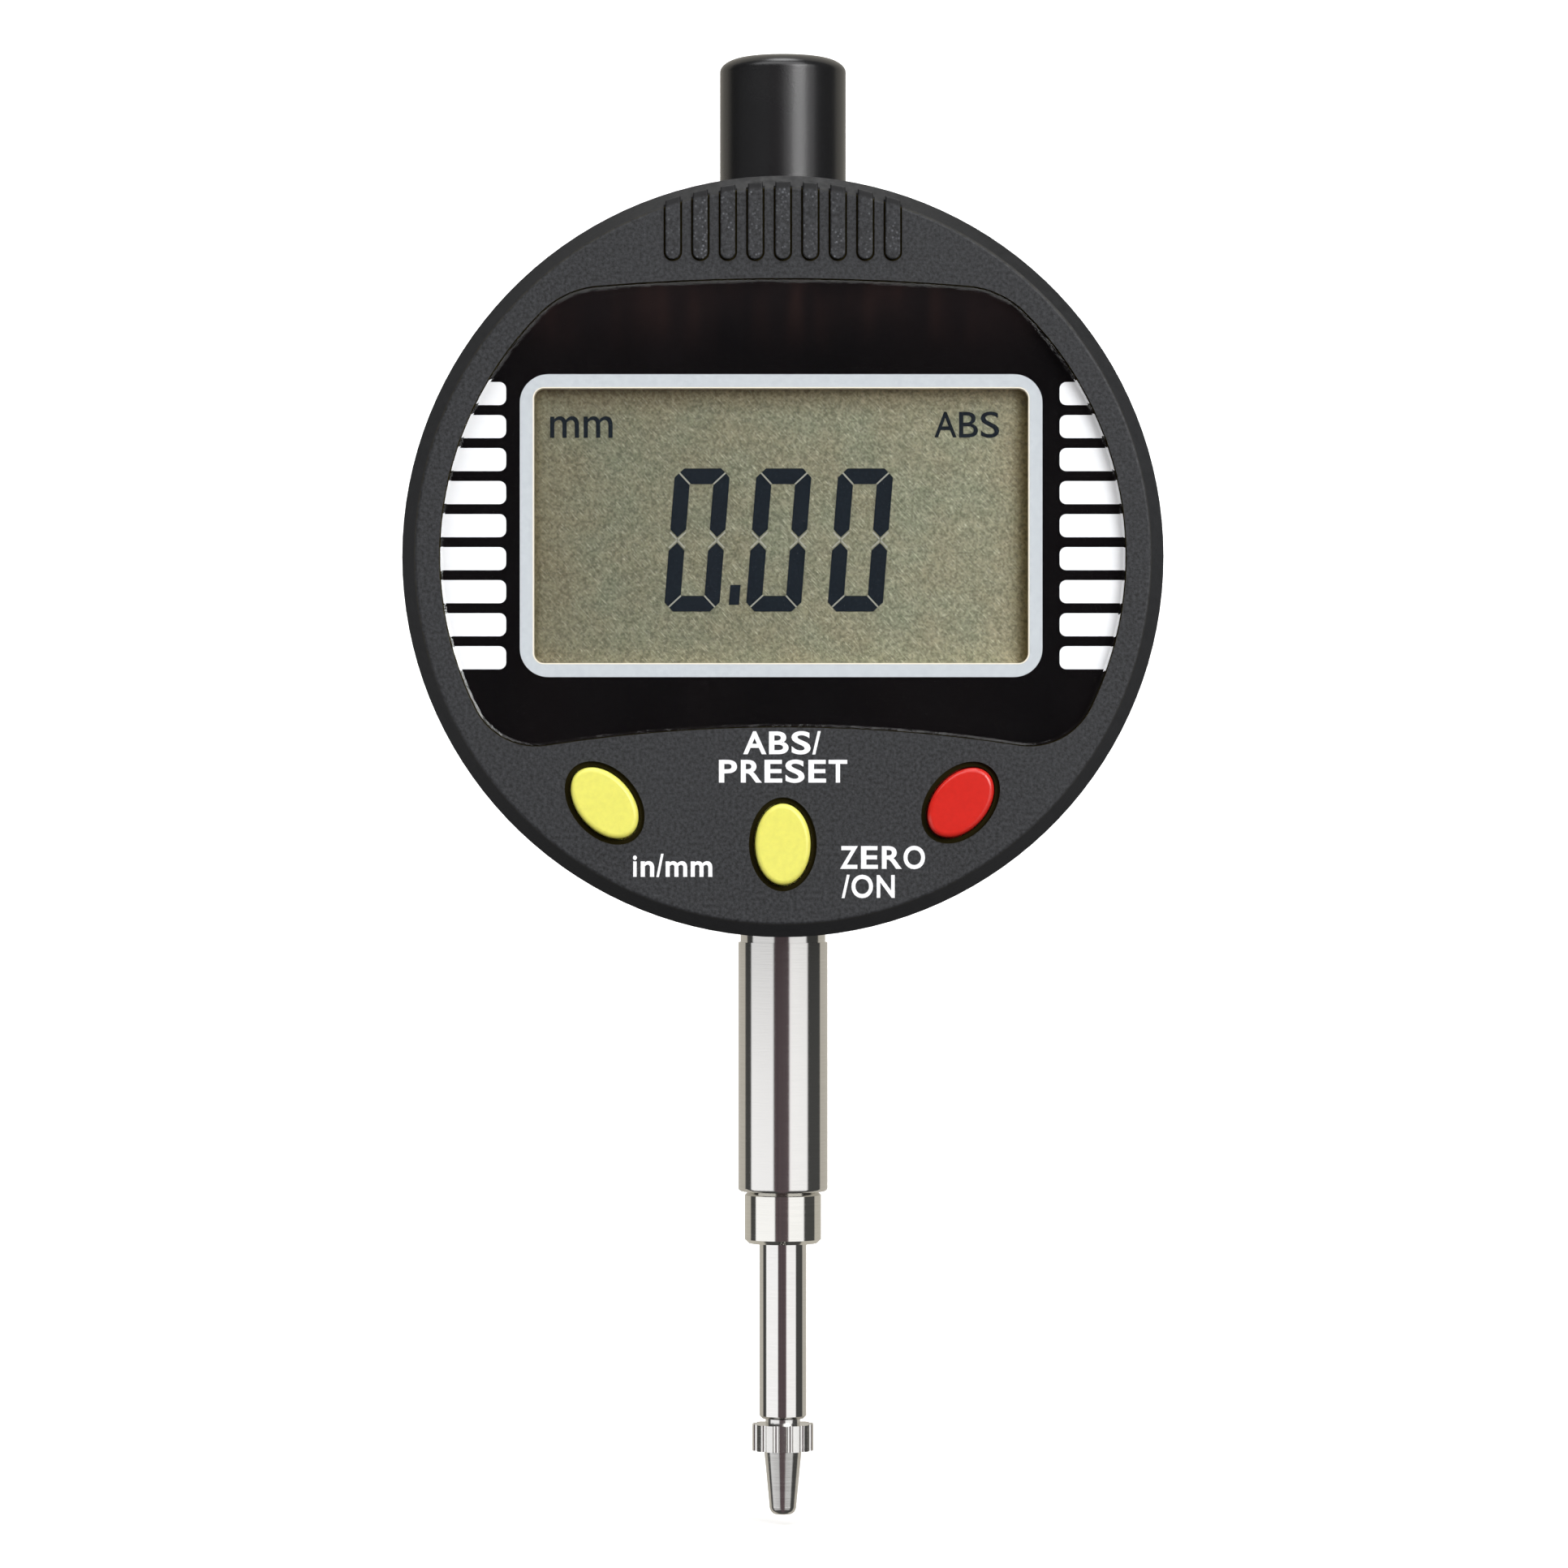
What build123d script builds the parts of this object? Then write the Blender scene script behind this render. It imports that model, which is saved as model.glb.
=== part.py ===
from build123d import *
from math import cos, hypot, radians, sin
import os

# Digital plunger indicator, in millimetres.
# +Z runs up along the spindle and the display faces -Y. The origin lies on the spindle axis,
# at the middle of the clamping length of the stem.

# Stem, bushes and spindle
stem_r = 4.0
stem_length = 23.0
stem_socket = 8.5
stem_shoulder = 2.0
shoulder_play = 0.5
stem_groove_depth = 0.2
stem_groove_height = 0.7
stem_round = 0.3
spindle_r = 2.1
running_gap = 0.02
lower_bush_wall = 0.88
upper_bush_wall = 1.38
bush_nose_lap = 0.42
bush_nose_length = 4.65
bush_shank_length = 10.0
bush_chamfer = 0.35
spindle_reach = 20.35
spindle_chamfer = 0.25
travel = 13.0

# Contact point
stud_r = 1.25
stud_length = 5.0
neck_r = 1.55
neck_length = 0.5
collar_r = 2.75
collar_height = 2.35
flute_count = 14
flute_r = 0.34
taper_top_r = 1.68
taper_end_r = 1.2
taper_length = 5.0
nose_height = 0.75
nose_flat_r = 0.6

# Case
wall = 2.0
face_wall = 1.8
bevel = 1.2
bevel_round = 0.4
split_gap = 0.2
rear_depth = 15.0
cover_thickness = 2.0
cover_bevel = 0.8
seam_chamfer = 0.2

# Window recess and panel
recess_rim = 3.3
recess_depth = 1.5
seat_wall = 1.3
seat_margin = 1.3
top_arc_r = 196.0
top_corner_r = 8.0
bottom_arc_r = 134.5
bottom_corner_r = 6.0
panel_gap = 0.1
panel_sink = 0.2
panel_edge = 0.2
print_thickness = 0.1

# Display, placed from the middle of the case, with its ways to the recess's edges
display_x = -0.15
display_z = 2.7
frame_width = 45.9
frame_height = 26.6
frame_above = 8.37
frame_below = 4.43
frame_corner_room = 1.5
frame_band = 1.23
frame_corner_r = 2.5
frame_inner_r = 0.9
glass_lap = 1.0
glass_thickness = 1.8
digit_x = -0.21
digit_z = -1.2
digit_pitch = 7.19
digit_width = 4.85
digit_height = 12.6
segment_width = 1.38
segment_cut = 0.8
segment_split = 0.1
segment_tip = 0.24
segment_thickness = 0.05
slant = 0.08
point_shift = 0.1
point_z = -4.83
point_width = 0.9
point_height = 1.75

# Stripes at the sides of the display
stripe_count = 9
stripe_height = 2.03
stripe_inset = 0.685
stripe_gap = 1.35
stripe_corner_r = 0.6
stripe_margin = 0.15

# Thumb ribs
rib_count = 9
rib_width = 1.3
rib_pitch = 2.41
rib_gap = 1.63
rib_rise = 0.4
rib_end_way = 0.65
rib_round = 0.12
rib_groove_width = 0.16
rib_groove_depth = 0.25

# Buttons: place from straight down in degrees, way from the case's edge to the middle,
# long half, short half, turn of the long half in degrees
button_drop = 10.25
middle_button_way = 8.17
buttons = {
    "unit": (-35.8, 6.75, 3.59, 2.38, -48.8),
    "preset": (0.0, middle_button_way, 3.57, 2.43, 90.0),
    "zero": (35.78, 6.8, 3.51, 2.36, 48.5),
}
button_gap = 0.12
button_rise = 0.6
button_travel = 0.5
button_crown = 0.4
rim_width = 0.55
rim_depth = 0.5
flange_lap = 0.7
flange_thickness = 0.6
flange_gap = 0.1
plunger_r = 0.9
plunger_gap = 0.1
plunger_inset = 0.05
plunger_end_gap = 0.05
switch_width = 4.0
switch_height = 1.4

# Boards and the parts on them
zebra_short = 1.9
zebra_height = 1.6
zebra_thickness = 1.2
zebra_inset = 1.4
board_margin = 0.8
board_thickness = 1.0
notch_gap = 0.4
stator_thickness = 0.6
stator_width = 12.0
stator_gap_below = 1.0
stator_gap_above = 1.5
chip_size = 7.0
chip_height = 0.9
chip_corner_r = 0.5
chip_z = 8.0
crystal_r = 1.0
crystal_length = 6.0
crystal_x = -20.0
crystal_z = 5.0
capacitor_x = 19.0
capacitor_z = 12.0
capacitor_size = (4.0, 2.4, 3.0)
board_screw_upper = (10.0, 7.0)
board_screw_lower = (10.5, 5.4)
board_boss_r = 2.0
board_screw_r = 0.8
board_screw_length = 3.6
board_screw_head_r = 1.6
board_screw_head_height = 1.1

# Case screws and their bosses
boss_r = 2.5
boss_sink = 0.6
screw_angles = (45.0, 135.0, 208.0, -28.0)
screw_r = 1.25
screw_clearance = 0.15
screw_head_r = 2.2
screw_head_height = 1.3
screw_head_sink = 0.3
screw_socket_r = 0.9
screw_end_gap = 0.4

# Rear housing and upper bush
boss_side_wall = 2.5
boss_back_wall = 2.0
upper_bush_shank = 11.6
spigot_step = 0.8
spigot_height = 4.0
rib_thickness = 2.0
rib_gap_front = 1.8

# Spindle cap
cap_r = 5.635
cap_height = 12.4
cap_seat_depth = 0.8
cap_wall = 1.2
cap_play = 1.1
cap_round_width = 2.6
cap_round_height = 1.3
cap_spot_gap = 0.25
cap_top_gap = 0.8

# Carrier, scale strip and guide
washer_width = 1.8
washer_play = 0.3
washer_thickness = 1.7
rest_gap = 0.3
carrier_height = 10.0
carrier_side_wall = 2.9
carrier_back_wall = 1.9
strip_gap = 0.15
strip_thickness = 0.6
strip_lift = 2.0
strip_top_gap = 1.0
plate_gap = 0.2
plate_thickness = 0.9
set_screw_r = 1.25
set_screw_stand = 0.6
pin_r = 1.0
pin_gap = 0.03
pin_end_gap = 0.3
pin_root_gap = 0.8
rail_gap = 2.2
rail_depth = 4.0
rail_half_width = 2.6
rail_slot_depth = 2.5
rail_end_margin = 3.5
rail_screw_r = 0.9
rail_screw_head_r = 1.6
rail_screw_head_height = 1.0
rail_screw_inset = 3.5

# Return spring
spring_play = 0.25
spring_wire_r = 0.2
spring_turns = 8

# Battery, placed from straight down in degrees, its holder, contacts and cap
battery_angle = 43.15
battery_r = 5.8
battery_height = 5.4
battery_play = 0.4
holder_bore_gap = 0.15
holder_wall = 1.65
holder_floor = 1.2
holder_floor_gap = 0.4
holder_flange = 1.0
holder_flange_lap = 1.0
holder_side_gap = 0.92
contact_pin_r = 0.9
contact_pin_gap = 0.2
contact_strip_width = 2.8
contact_strip_thickness = 0.3
contact_strip_gap = 0.2
contact_strip_short = 1.2
cover_hole_lap = 1.35
battery_cap_gap = 0.15
battery_cap_sink = 0.2
battery_cap_boss = 1.45
battery_cap_play = 0.35
seal_play = 0.5
seal_thickness = 0.4
seal_gap = 0.05
bayonet_reach = 0.55
bayonet_lug_angle = 36.0
bayonet_lug_height = 0.7
bayonet_gap = 0.1
bayonet_lift = 0.05
bayonet_entry_margin = 8.0
bayonet_turn = 60.0
coin_slot_length = 9.5
coin_slot_width = 1.6
coin_slot_depth = 0.8

# Mounting lug on the back cover
lug_thickness = 5.0
lug_hole_r = 3.25
lug_wall = 3.25
lug_stand = 1.1
lug_base_fillet = 2.0

# Bushes, spring and bores round the spindle
stem_bore_r = spindle_r + running_gap + lower_bush_wall
bush_nose_r = stem_bore_r + bush_nose_lap
upper_bush_r = spindle_r + running_gap + upper_bush_wall
spigot_r = upper_bush_r + spigot_step
cap_bore_r = spindle_r + cap_play
shoulder_r = spindle_r + shoulder_play
washer_bore_r = spindle_r + washer_play
washer_r = washer_bore_r + washer_width
spring_r = spindle_r + spring_play + spring_wire_r
carrier_half_width = spindle_r + carrier_side_wall
carrier_back = spindle_r + carrier_back_wall

# Places from the spindle forward to the face, and back to the cover
plate_back = -(spring_r + spring_wire_r + plate_gap)
strip_back = plate_back - plate_thickness
strip_front = strip_back - strip_thickness
stator_back = strip_front - strip_gap
board_back = stator_back - stator_thickness
board_front = board_back - board_thickness
glass_back = board_front - zebra_thickness
seat_y = glass_back - glass_thickness
floor_y = seat_y - seat_wall
print_y = floor_y - print_thickness
face_y = floor_y - recess_depth
panel_y = face_y + panel_sink
inner_y = face_y + face_wall
flange_front = inner_y + flange_gap
flange_back = flange_front + flange_thickness
switch_front = board_front - switch_height
switch_recess = plunger_inset + button_travel + plunger_end_gap
split_y = board_back + split_gap
cover_y = split_y + rear_depth
back_y = cover_y + cover_thickness
boss_back = stem_r + boss_back_wall
boss_half_width = stem_r + boss_side_wall
rib_front = board_back + rib_gap_front

# Window and case, as large as the buttons under the window or the display's corners need
top_edge = display_z + frame_height / 2 + frame_above
bottom_edge = display_z - frame_height / 2 - frame_below
frame_corner = hypot(frame_width / 2 + abs(display_x), display_z + frame_height / 2)
case_r = max(
    button_drop + middle_button_way - bottom_edge,
    frame_corner + frame_corner_room + recess_rim,
)
inner_r = case_r - wall
recess_r = case_r - recess_rim
glass_width = frame_width + 2 * glass_lap
glass_height = frame_height + 2 * glass_lap
stripe_start = frame_width / 2 + stripe_gap
stripe_pitch = (frame_height - stripe_height - 2 * stripe_inset) / (stripe_count - 1)
point_x = point_shift - digit_pitch / 2
rib_bottom = top_edge + rib_gap

# Places along the spindle
body_z = stem_length / 2 + case_r
stem_end = -stem_length / 2
stem_top = stem_length / 2 + stem_socket
lower_boss_top = stem_top + stem_shoulder
cap_seat = body_z + case_r - cap_seat_depth
cap_top = cap_seat + cap_height
cap_inner_top = cap_top - cap_wall
upper_boss_bottom = cap_seat - upper_bush_shank
spindle_bottom = stem_end - spindle_reach
spindle_top = cap_inner_top - cap_top_gap - travel
stator_bottom = lower_boss_top + stator_gap_below
stator_top = upper_boss_bottom - stator_gap_above
carrier_bottom = lower_boss_top + washer_thickness + rest_gap
carrier_top = carrier_bottom + carrier_height
strip_bottom = carrier_bottom + strip_lift
strip_top = upper_boss_bottom - travel - strip_top_gap
pin_z = carrier_bottom + carrier_height / 2
rail_bottom = pin_z - rail_end_margin
rail_top = pin_z + travel + rail_end_margin

# Places across the case
board_r = inner_r - board_margin
boss_circle_r = inner_r - boss_r + boss_sink
screw_spots = [
    (boss_circle_r * cos(radians(angle)), boss_circle_r * sin(radians(angle)))
    for angle in screw_angles
]
board_screw_top = display_z + glass_height / 2 + board_screw_upper[1]
board_screw_bottom = display_z - glass_height / 2 - board_screw_lower[1]
board_screw_spots = [(side * board_screw_upper[0], board_screw_top) for side in (-1, 1)]
board_screw_spots += [(side * board_screw_lower[0], board_screw_bottom) for side in (-1, 1)]
rail_x = -(carrier_half_width + rail_gap)
rail_slot_floor = rail_x - rail_slot_depth
rib_x = rail_x - rail_depth
pin_reach = -rail_slot_floor - pin_end_gap
pin_root = spindle_r + pin_root_gap
button_places = {
    name: ((case_r - way) * sin(radians(angle)), -(case_r - way) * cos(radians(angle)), *shape)
    for name, (angle, way, *shape) in buttons.items()
}

# Battery and its cap
holder_bore_r = battery_r + holder_bore_gap
holder_r = holder_bore_r + holder_wall
holder_flange_r = holder_r + holder_flange_lap
battery_way = inner_r - holder_flange_r - holder_side_gap
battery_x = battery_way * sin(radians(battery_angle))
battery_z = -battery_way * cos(radians(battery_angle))
cover_hole_r = holder_bore_r + cover_hole_lap
cap_disc_back = back_y - battery_cap_sink
cap_disc_front = cover_y + seal_gap + seal_thickness
battery_cap_boss_r = holder_bore_r - battery_cap_play
battery_cap_boss_end = cap_disc_front - battery_cap_boss
battery_back = battery_cap_boss_end - battery_play
battery_front = battery_back - battery_height
holder_front = battery_front - holder_floor_gap - holder_floor
contact_strip_end = battery_back - contact_strip_short
seal_inner_r = battery_cap_boss_r + seal_play
bayonet_lug_r = holder_bore_r + bayonet_reach

# Mounting lug
lug_r = lug_hole_r + lug_wall
lug_hole_reach = lug_r + lug_stand


def facing(y, x=0.0, z=0.0):
    """Plane across the view, with local x along +X, local y along +Z, and extrusion to -Y."""
    return Plane(origin=(x, y, body_z + z), x_dir=(1, 0, 0), z_dir=(0, -1, 0))


def level(z):
    """Plane square to the spindle at height z."""
    return Plane.XY.offset(z)


def across(x):
    """Plane square to X, with local x along +Y and local y along +Z."""
    return Plane(origin=(x, 0, 0), x_dir=(0, 1, 0), z_dir=(1, 0, 0))


def sector(radius, middle, angle):
    """Slice of a disc about local zero, with its angles in degrees."""
    first, last = radians(middle - angle / 2), radians(middle + angle / 2)
    with BuildSketch() as slice_outline:
        with BuildLine():
            CenterArc((0, 0), radius, middle - angle / 2, angle)
            Line((0, 0), (radius * cos(first), radius * sin(first)))
            Line((0, 0), (radius * cos(last), radius * sin(last)))
        make_face()
    return slice_outline.sketch


def save(piece, label):
    """Names a finished piece and writes it."""
    piece.part.label = label
    export_step(piece.part, f"parts/{label}.step")


os.makedirs("parts", exist_ok=True)

# Outline of the window recess, shared by the front housing, the panel and its print
with BuildSketch() as recess_outline:
    Circle(recess_r)
    with Locations((0, top_edge - top_arc_r)):
        Circle(top_arc_r, mode=Mode.INTERSECT)
    with Locations((0, bottom_edge - bottom_arc_r)):
        Circle(bottom_arc_r, mode=Mode.SUBTRACT)
    fillet([v for v in recess_outline.vertices() if v.Y > top_edge / 2], top_corner_r)
    fillet([v for v in recess_outline.vertices() if v.Y < bottom_edge / 2], bottom_corner_r)

with BuildSketch() as panel_outline:
    add(recess_outline.sketch)
    offset(amount=-panel_gap)

with BuildSketch() as frame_outline:
    with Locations((display_x, display_z)):
        RectangleRounded(frame_width, frame_height, frame_corner_r)

# White bars: rounded at the display's side, cut to the panel's edge at the other
with BuildSketch() as stripe_outline:
    stripe_length = recess_r - stripe_start + stripe_corner_r
    for side in (-1, 1):
        with Locations((side * (stripe_start + stripe_length / 2), display_z)):
            with GridLocations(1, stripe_pitch, 1, stripe_count):
                RectangleRounded(stripe_length, stripe_height, stripe_corner_r)
    Circle(recess_r - stripe_margin, mode=Mode.INTERSECT)

# Thumb ribs: they stop short of the case's edge, and a narrow groove runs round each
with BuildSketch() as rib_outline:
    with Locations((0, rib_bottom + case_r / 2)):
        with GridLocations(rib_pitch, 1, rib_count, 1):
            SlotOverall(case_r, rib_width, rotation=90)
    Circle(case_r - rib_end_way, mode=Mode.INTERSECT)

with BuildSketch() as rib_groove_outline:
    with Locations((0, rib_bottom + case_r / 2)):
        with GridLocations(rib_pitch, 1, rib_count, 1):
            SlotOverall(case_r + 2 * rib_groove_width, rib_width + 2 * rib_groove_width, rotation=90)
    Circle(case_r - rib_end_way, mode=Mode.INTERSECT)
    add(rib_outline.sketch, mode=Mode.SUBTRACT)

# Front housing: bevelled disc with the window recess, thumb ribs, button holes and bosses
with BuildPart() as front_housing:
    with BuildSketch(facing(split_y)):
        Circle(case_r)
    extrude(amount=split_y - face_y)
    chamfer(front_housing.edges().sort_by(Axis.Y)[0], bevel)
    chamfer(front_housing.edges().sort_by(Axis.Y)[-1], seam_chamfer)
    fillet(front_housing.faces().sort_by(Axis.Y)[0].edges(), bevel_round)
    with BuildSketch(facing(face_y + bevel)):
        add(rib_outline.sketch)
    extrude(amount=bevel + rib_rise)
    rib_faces = front_housing.faces().filter_by(Axis.Y).sort_by(Axis.Y)[:rib_count]
    fillet(rib_faces.edges(), rib_round)
    with BuildSketch(facing(face_y + rib_groove_depth)):
        add(rib_groove_outline.sketch)
    extrude(amount=rib_groove_depth, mode=Mode.SUBTRACT)
    with BuildSketch(facing(split_y)):
        Circle(inner_r)
    extrude(amount=split_y - inner_y, mode=Mode.SUBTRACT)
    with BuildSketch(facing(split_y)):
        with Locations(screw_spots):
            Circle(boss_r)
    extrude(amount=split_y - inner_y)
    with BuildSketch(facing(seat_y)):
        add(recess_outline.sketch)
        offset(amount=seat_margin)
    extrude(amount=seat_y - inner_y)
    with BuildSketch(facing(board_front)):
        with Locations(board_screw_spots):
            Circle(board_boss_r)
    extrude(amount=board_front - inner_y)
    with BuildSketch(facing(floor_y)):
        add(recess_outline.sketch)
    extrude(amount=recess_depth, mode=Mode.SUBTRACT)
    with BuildSketch(facing(seat_y)):
        add(frame_outline.sketch)
    extrude(amount=seat_wall, mode=Mode.SUBTRACT)
    for x, z, long_half, short_half, turn in button_places.values():
        with BuildSketch(facing(inner_y, x, z)):
            Ellipse(long_half + button_gap, short_half + button_gap, rotation=turn)
        extrude(amount=face_wall, mode=Mode.SUBTRACT)
        with BuildSketch(facing(face_y + rim_depth, x, z)):
            Ellipse(long_half + rim_width, short_half + rim_width, rotation=turn)
        extrude(amount=rim_depth, mode=Mode.SUBTRACT)
    with BuildSketch(facing(split_y)):
        with Locations(screw_spots):
            Circle(screw_r)
    extrude(amount=split_y - seat_y - screw_end_gap, mode=Mode.SUBTRACT)
    with BuildSketch(facing(board_front)):
        with Locations(board_screw_spots):
            Circle(board_screw_r)
    extrude(amount=board_screw_length - board_thickness, mode=Mode.SUBTRACT)
    with BuildSketch(level(cap_seat)):
        Circle(cap_r + cap_spot_gap)
    extrude(amount=case_r, mode=Mode.SUBTRACT)
save(front_housing, "front_housing")

# Rear housing: ring with the stem boss, the upper boss, the rail rib and the screw bosses
with BuildPart() as rear_housing:
    with BuildSketch(facing(cover_y)):
        Circle(case_r)
    extrude(amount=rear_depth)
    chamfer(rear_housing.edges().filter_by(GeomType.CIRCLE), seam_chamfer)
    with BuildSketch(facing(cover_y)):
        Circle(inner_r)
        with Locations(screw_spots):
            Circle(boss_r, mode=Mode.SUBTRACT)
    extrude(amount=rear_depth, mode=Mode.SUBTRACT)
    with BuildSketch(facing(boss_back)):
        with Locations((0, lower_boss_top - body_z)):
            Rectangle(2 * boss_half_width, case_r, align=(Align.CENTER, Align.MAX))
        with Locations((0, upper_boss_bottom - body_z)):
            Rectangle(2 * boss_half_width, case_r, align=(Align.CENTER, Align.MIN))
        Circle(case_r - wall / 2, mode=Mode.INTERSECT)
    extrude(amount=boss_back - split_y)
    with BuildSketch(facing(cover_y)):
        with Locations((rib_x, 0)):
            Rectangle(rib_thickness, 2 * case_r, align=(Align.MAX, Align.CENTER))
        Circle(case_r - wall / 2, mode=Mode.INTERSECT)
    extrude(amount=cover_y - rib_front)
    with BuildSketch(facing(cover_y)):
        with Locations(screw_spots):
            Circle(screw_r + screw_clearance)
    extrude(amount=rear_depth, mode=Mode.SUBTRACT)
    with BuildSketch(level(0)):
        Circle(stem_r)
    extrude(amount=stem_top, mode=Mode.SUBTRACT)
    with BuildSketch(level(0)):
        Circle(shoulder_r)
    extrude(amount=body_z, mode=Mode.SUBTRACT)
    with BuildSketch(level(body_z)):
        Circle(upper_bush_r)
    extrude(amount=case_r, mode=Mode.SUBTRACT)
    with BuildSketch(level(cap_seat)):
        Circle(cap_r + cap_spot_gap)
    extrude(amount=case_r, mode=Mode.SUBTRACT)
    for z in (rail_bottom + rail_screw_inset, rail_top - rail_screw_inset):
        with BuildSketch(across(rib_x - rib_thickness)):
            with Locations((0, z)):
                Circle(rail_screw_r)
        extrude(amount=rib_thickness, mode=Mode.SUBTRACT)
save(rear_housing, "rear_housing")

# Back cover with the mounting lug in one piece
with BuildPart() as back_cover:
    with BuildSketch(facing(back_y)):
        Circle(case_r)
    extrude(amount=cover_thickness)
    chamfer(back_cover.edges().sort_by(Axis.Y)[-1], cover_bevel)
    with BuildSketch(across(0)):
        with Locations((back_y, body_z)):
            Rectangle(lug_hole_reach, 2 * lug_r, align=(Align.MIN, Align.CENTER))
        with Locations((back_y + lug_hole_reach, body_z)):
            Circle(lug_r)
    extrude(amount=lug_thickness / 2, both=True)
    cover_face = back_cover.faces().filter_by(Axis.Y).sort_by(Axis.Y)[-1]
    fillet(cover_face.inner_wires()[0].edges(), lug_base_fillet)
    with BuildSketch(across(-lug_thickness / 2)):
        with Locations((back_y + lug_hole_reach, body_z)):
            Circle(lug_hole_r)
    extrude(amount=lug_thickness, mode=Mode.SUBTRACT)
    with BuildSketch(facing(back_y)):
        with Locations(screw_spots):
            Circle(screw_r + screw_clearance)
        with Locations((battery_x, battery_z)):
            Circle(cover_hole_r)
    extrude(amount=cover_thickness, mode=Mode.SUBTRACT)
    with BuildSketch(facing(back_y)):
        with Locations(screw_spots):
            Circle(screw_head_r + screw_clearance)
    extrude(amount=screw_head_height + screw_head_sink, mode=Mode.SUBTRACT)
save(back_cover, "back_cover")

# Four long screws through the cover and the rear housing into the front housing
with BuildPart() as case_screws:
    screw_head_back = back_y - screw_head_sink
    with BuildSketch(facing(screw_head_back)):
        with Locations(screw_spots):
            Circle(screw_head_r)
    extrude(amount=screw_head_height)
    with BuildSketch(facing(screw_head_back - screw_head_height)):
        with Locations(screw_spots):
            Circle(screw_r)
    extrude(amount=screw_head_back - screw_head_height - seat_y - 2 * screw_end_gap)
    with BuildSketch(facing(screw_head_back)):
        with Locations(screw_spots):
            RegularPolygon(screw_socket_r, 6)
    extrude(amount=screw_head_height / 2, mode=Mode.SUBTRACT)
save(case_screws, "case_screws")

# Clear window panel
with BuildPart() as window_panel:
    with BuildSketch(facing(print_y)):
        add(panel_outline.sketch)
    extrude(amount=print_y - panel_y)
    chamfer(window_panel.faces().sort_by(Axis.Y)[0].edges(), panel_edge)
save(window_panel, "window_panel")

# Black print behind the panel, open round the display frame and the bars
with BuildPart() as panel_backing:
    with BuildSketch(facing(floor_y)):
        add(panel_outline.sketch)
        add(frame_outline.sketch, mode=Mode.SUBTRACT)
        add(stripe_outline.sketch, mode=Mode.SUBTRACT)
    extrude(amount=print_thickness)
save(panel_backing, "panel_backing")

with BuildPart() as side_stripes:
    with BuildSketch(facing(floor_y)):
        add(stripe_outline.sketch)
    extrude(amount=print_thickness)
save(side_stripes, "side_stripes")

# White frame that lines the opening between the panel and the display glass
with BuildPart() as display_frame:
    with BuildSketch(facing(seat_y)):
        add(frame_outline.sketch)
        with Locations((display_x, display_z)):
            RectangleRounded(
                frame_width - 2 * frame_band,
                frame_height - 2 * frame_band,
                frame_inner_r,
                mode=Mode.SUBTRACT,
            )
    extrude(amount=seat_y - print_y)
save(display_frame, "display_frame")

with BuildPart() as display_glass:
    with BuildSketch(facing(glass_back)):
        with Locations((display_x, display_z)):
            Rectangle(glass_width, glass_height)
    extrude(amount=glass_thickness)
save(display_glass, "display_glass")


def upright_segment(side, up):
    """Corners of one upright segment of a nought: side -1 or 1 across, up -1 or 1."""
    half_w, half_h = digit_width / 2, digit_height / 2
    inner = half_w - segment_width
    corners = [
        (half_w - segment_width / 2, segment_tip),
        (half_w, segment_tip + segment_width / 2),
        (half_w, half_h - segment_cut),
        (half_w - (segment_cut - segment_split) / 2, half_h - (segment_cut + segment_split) / 2),
        (inner, half_h - segment_width - segment_split),
        (inner, segment_tip + segment_width / 2),
    ]
    return [(side * x, up * z) for x, z in corners]


def level_segment(up):
    """Corners of the top or bottom segment of a nought."""
    half_w, half_h = digit_width / 2, digit_height / 2
    right = [
        (half_w - segment_width - segment_split, half_h - segment_width),
        (half_w - (segment_cut + segment_split) / 2, half_h - (segment_cut - segment_split) / 2),
        (half_w - segment_cut, half_h),
    ]
    left = [(-x, z) for x, z in reversed(right)]
    return [(x, up * z) for x, z in right + left]


def decimal_point():
    """Corners of the decimal point about its own middle."""
    half_w, half_h = point_width / 2, point_height / 2
    return [(-half_w, -half_h), (half_w, -half_h), (half_w, half_h), (-half_w, half_h)]


def slanted(corners, x, z):
    """Corners moved to x, z and leaned to the right about the middle line of the digits."""
    middle = display_z + digit_z
    return [(display_x + digit_x + x + cx + slant * (z + cz), middle + z + cz) for cx, cz in corners]


# Three noughts and the decimal point
with BuildPart() as display_segments:
    nought = [upright_segment(side, up) for side in (-1, 1) for up in (-1, 1)]
    nought += [level_segment(up) for up in (-1, 1)]
    with BuildSketch(facing(seat_y)):
        for place in (-1, 0, 1):
            for corners in nought:
                Polygon(*slanted(corners, place * digit_pitch, 0), align=None)
        Polygon(*slanted(decimal_point(), point_x, point_z), align=None)
    extrude(amount=segment_thickness)
save(display_segments, "display_segments")

# Rubber contact strips between the glass and the board
for label, up in (("zebra_strip_upper", 1), ("zebra_strip_lower", -1)):
    with BuildPart() as zebra_strip:
        with BuildSketch(facing(board_front)):
            with Locations((display_x, display_z + up * (glass_height / 2 - zebra_inset))):
                Rectangle(frame_width - zebra_short, zebra_height)
        extrude(amount=zebra_thickness)
    save(zebra_strip, label)

# Main board, notched round the case bosses
with BuildPart() as main_board:
    with BuildSketch(facing(board_back)):
        Circle(board_r)
        with Locations(screw_spots):
            Circle(boss_r + notch_gap, mode=Mode.SUBTRACT)
        with Locations(board_screw_spots):
            Circle(board_screw_r, mode=Mode.SUBTRACT)
    extrude(amount=board_thickness)
save(main_board, "main_board")

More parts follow.
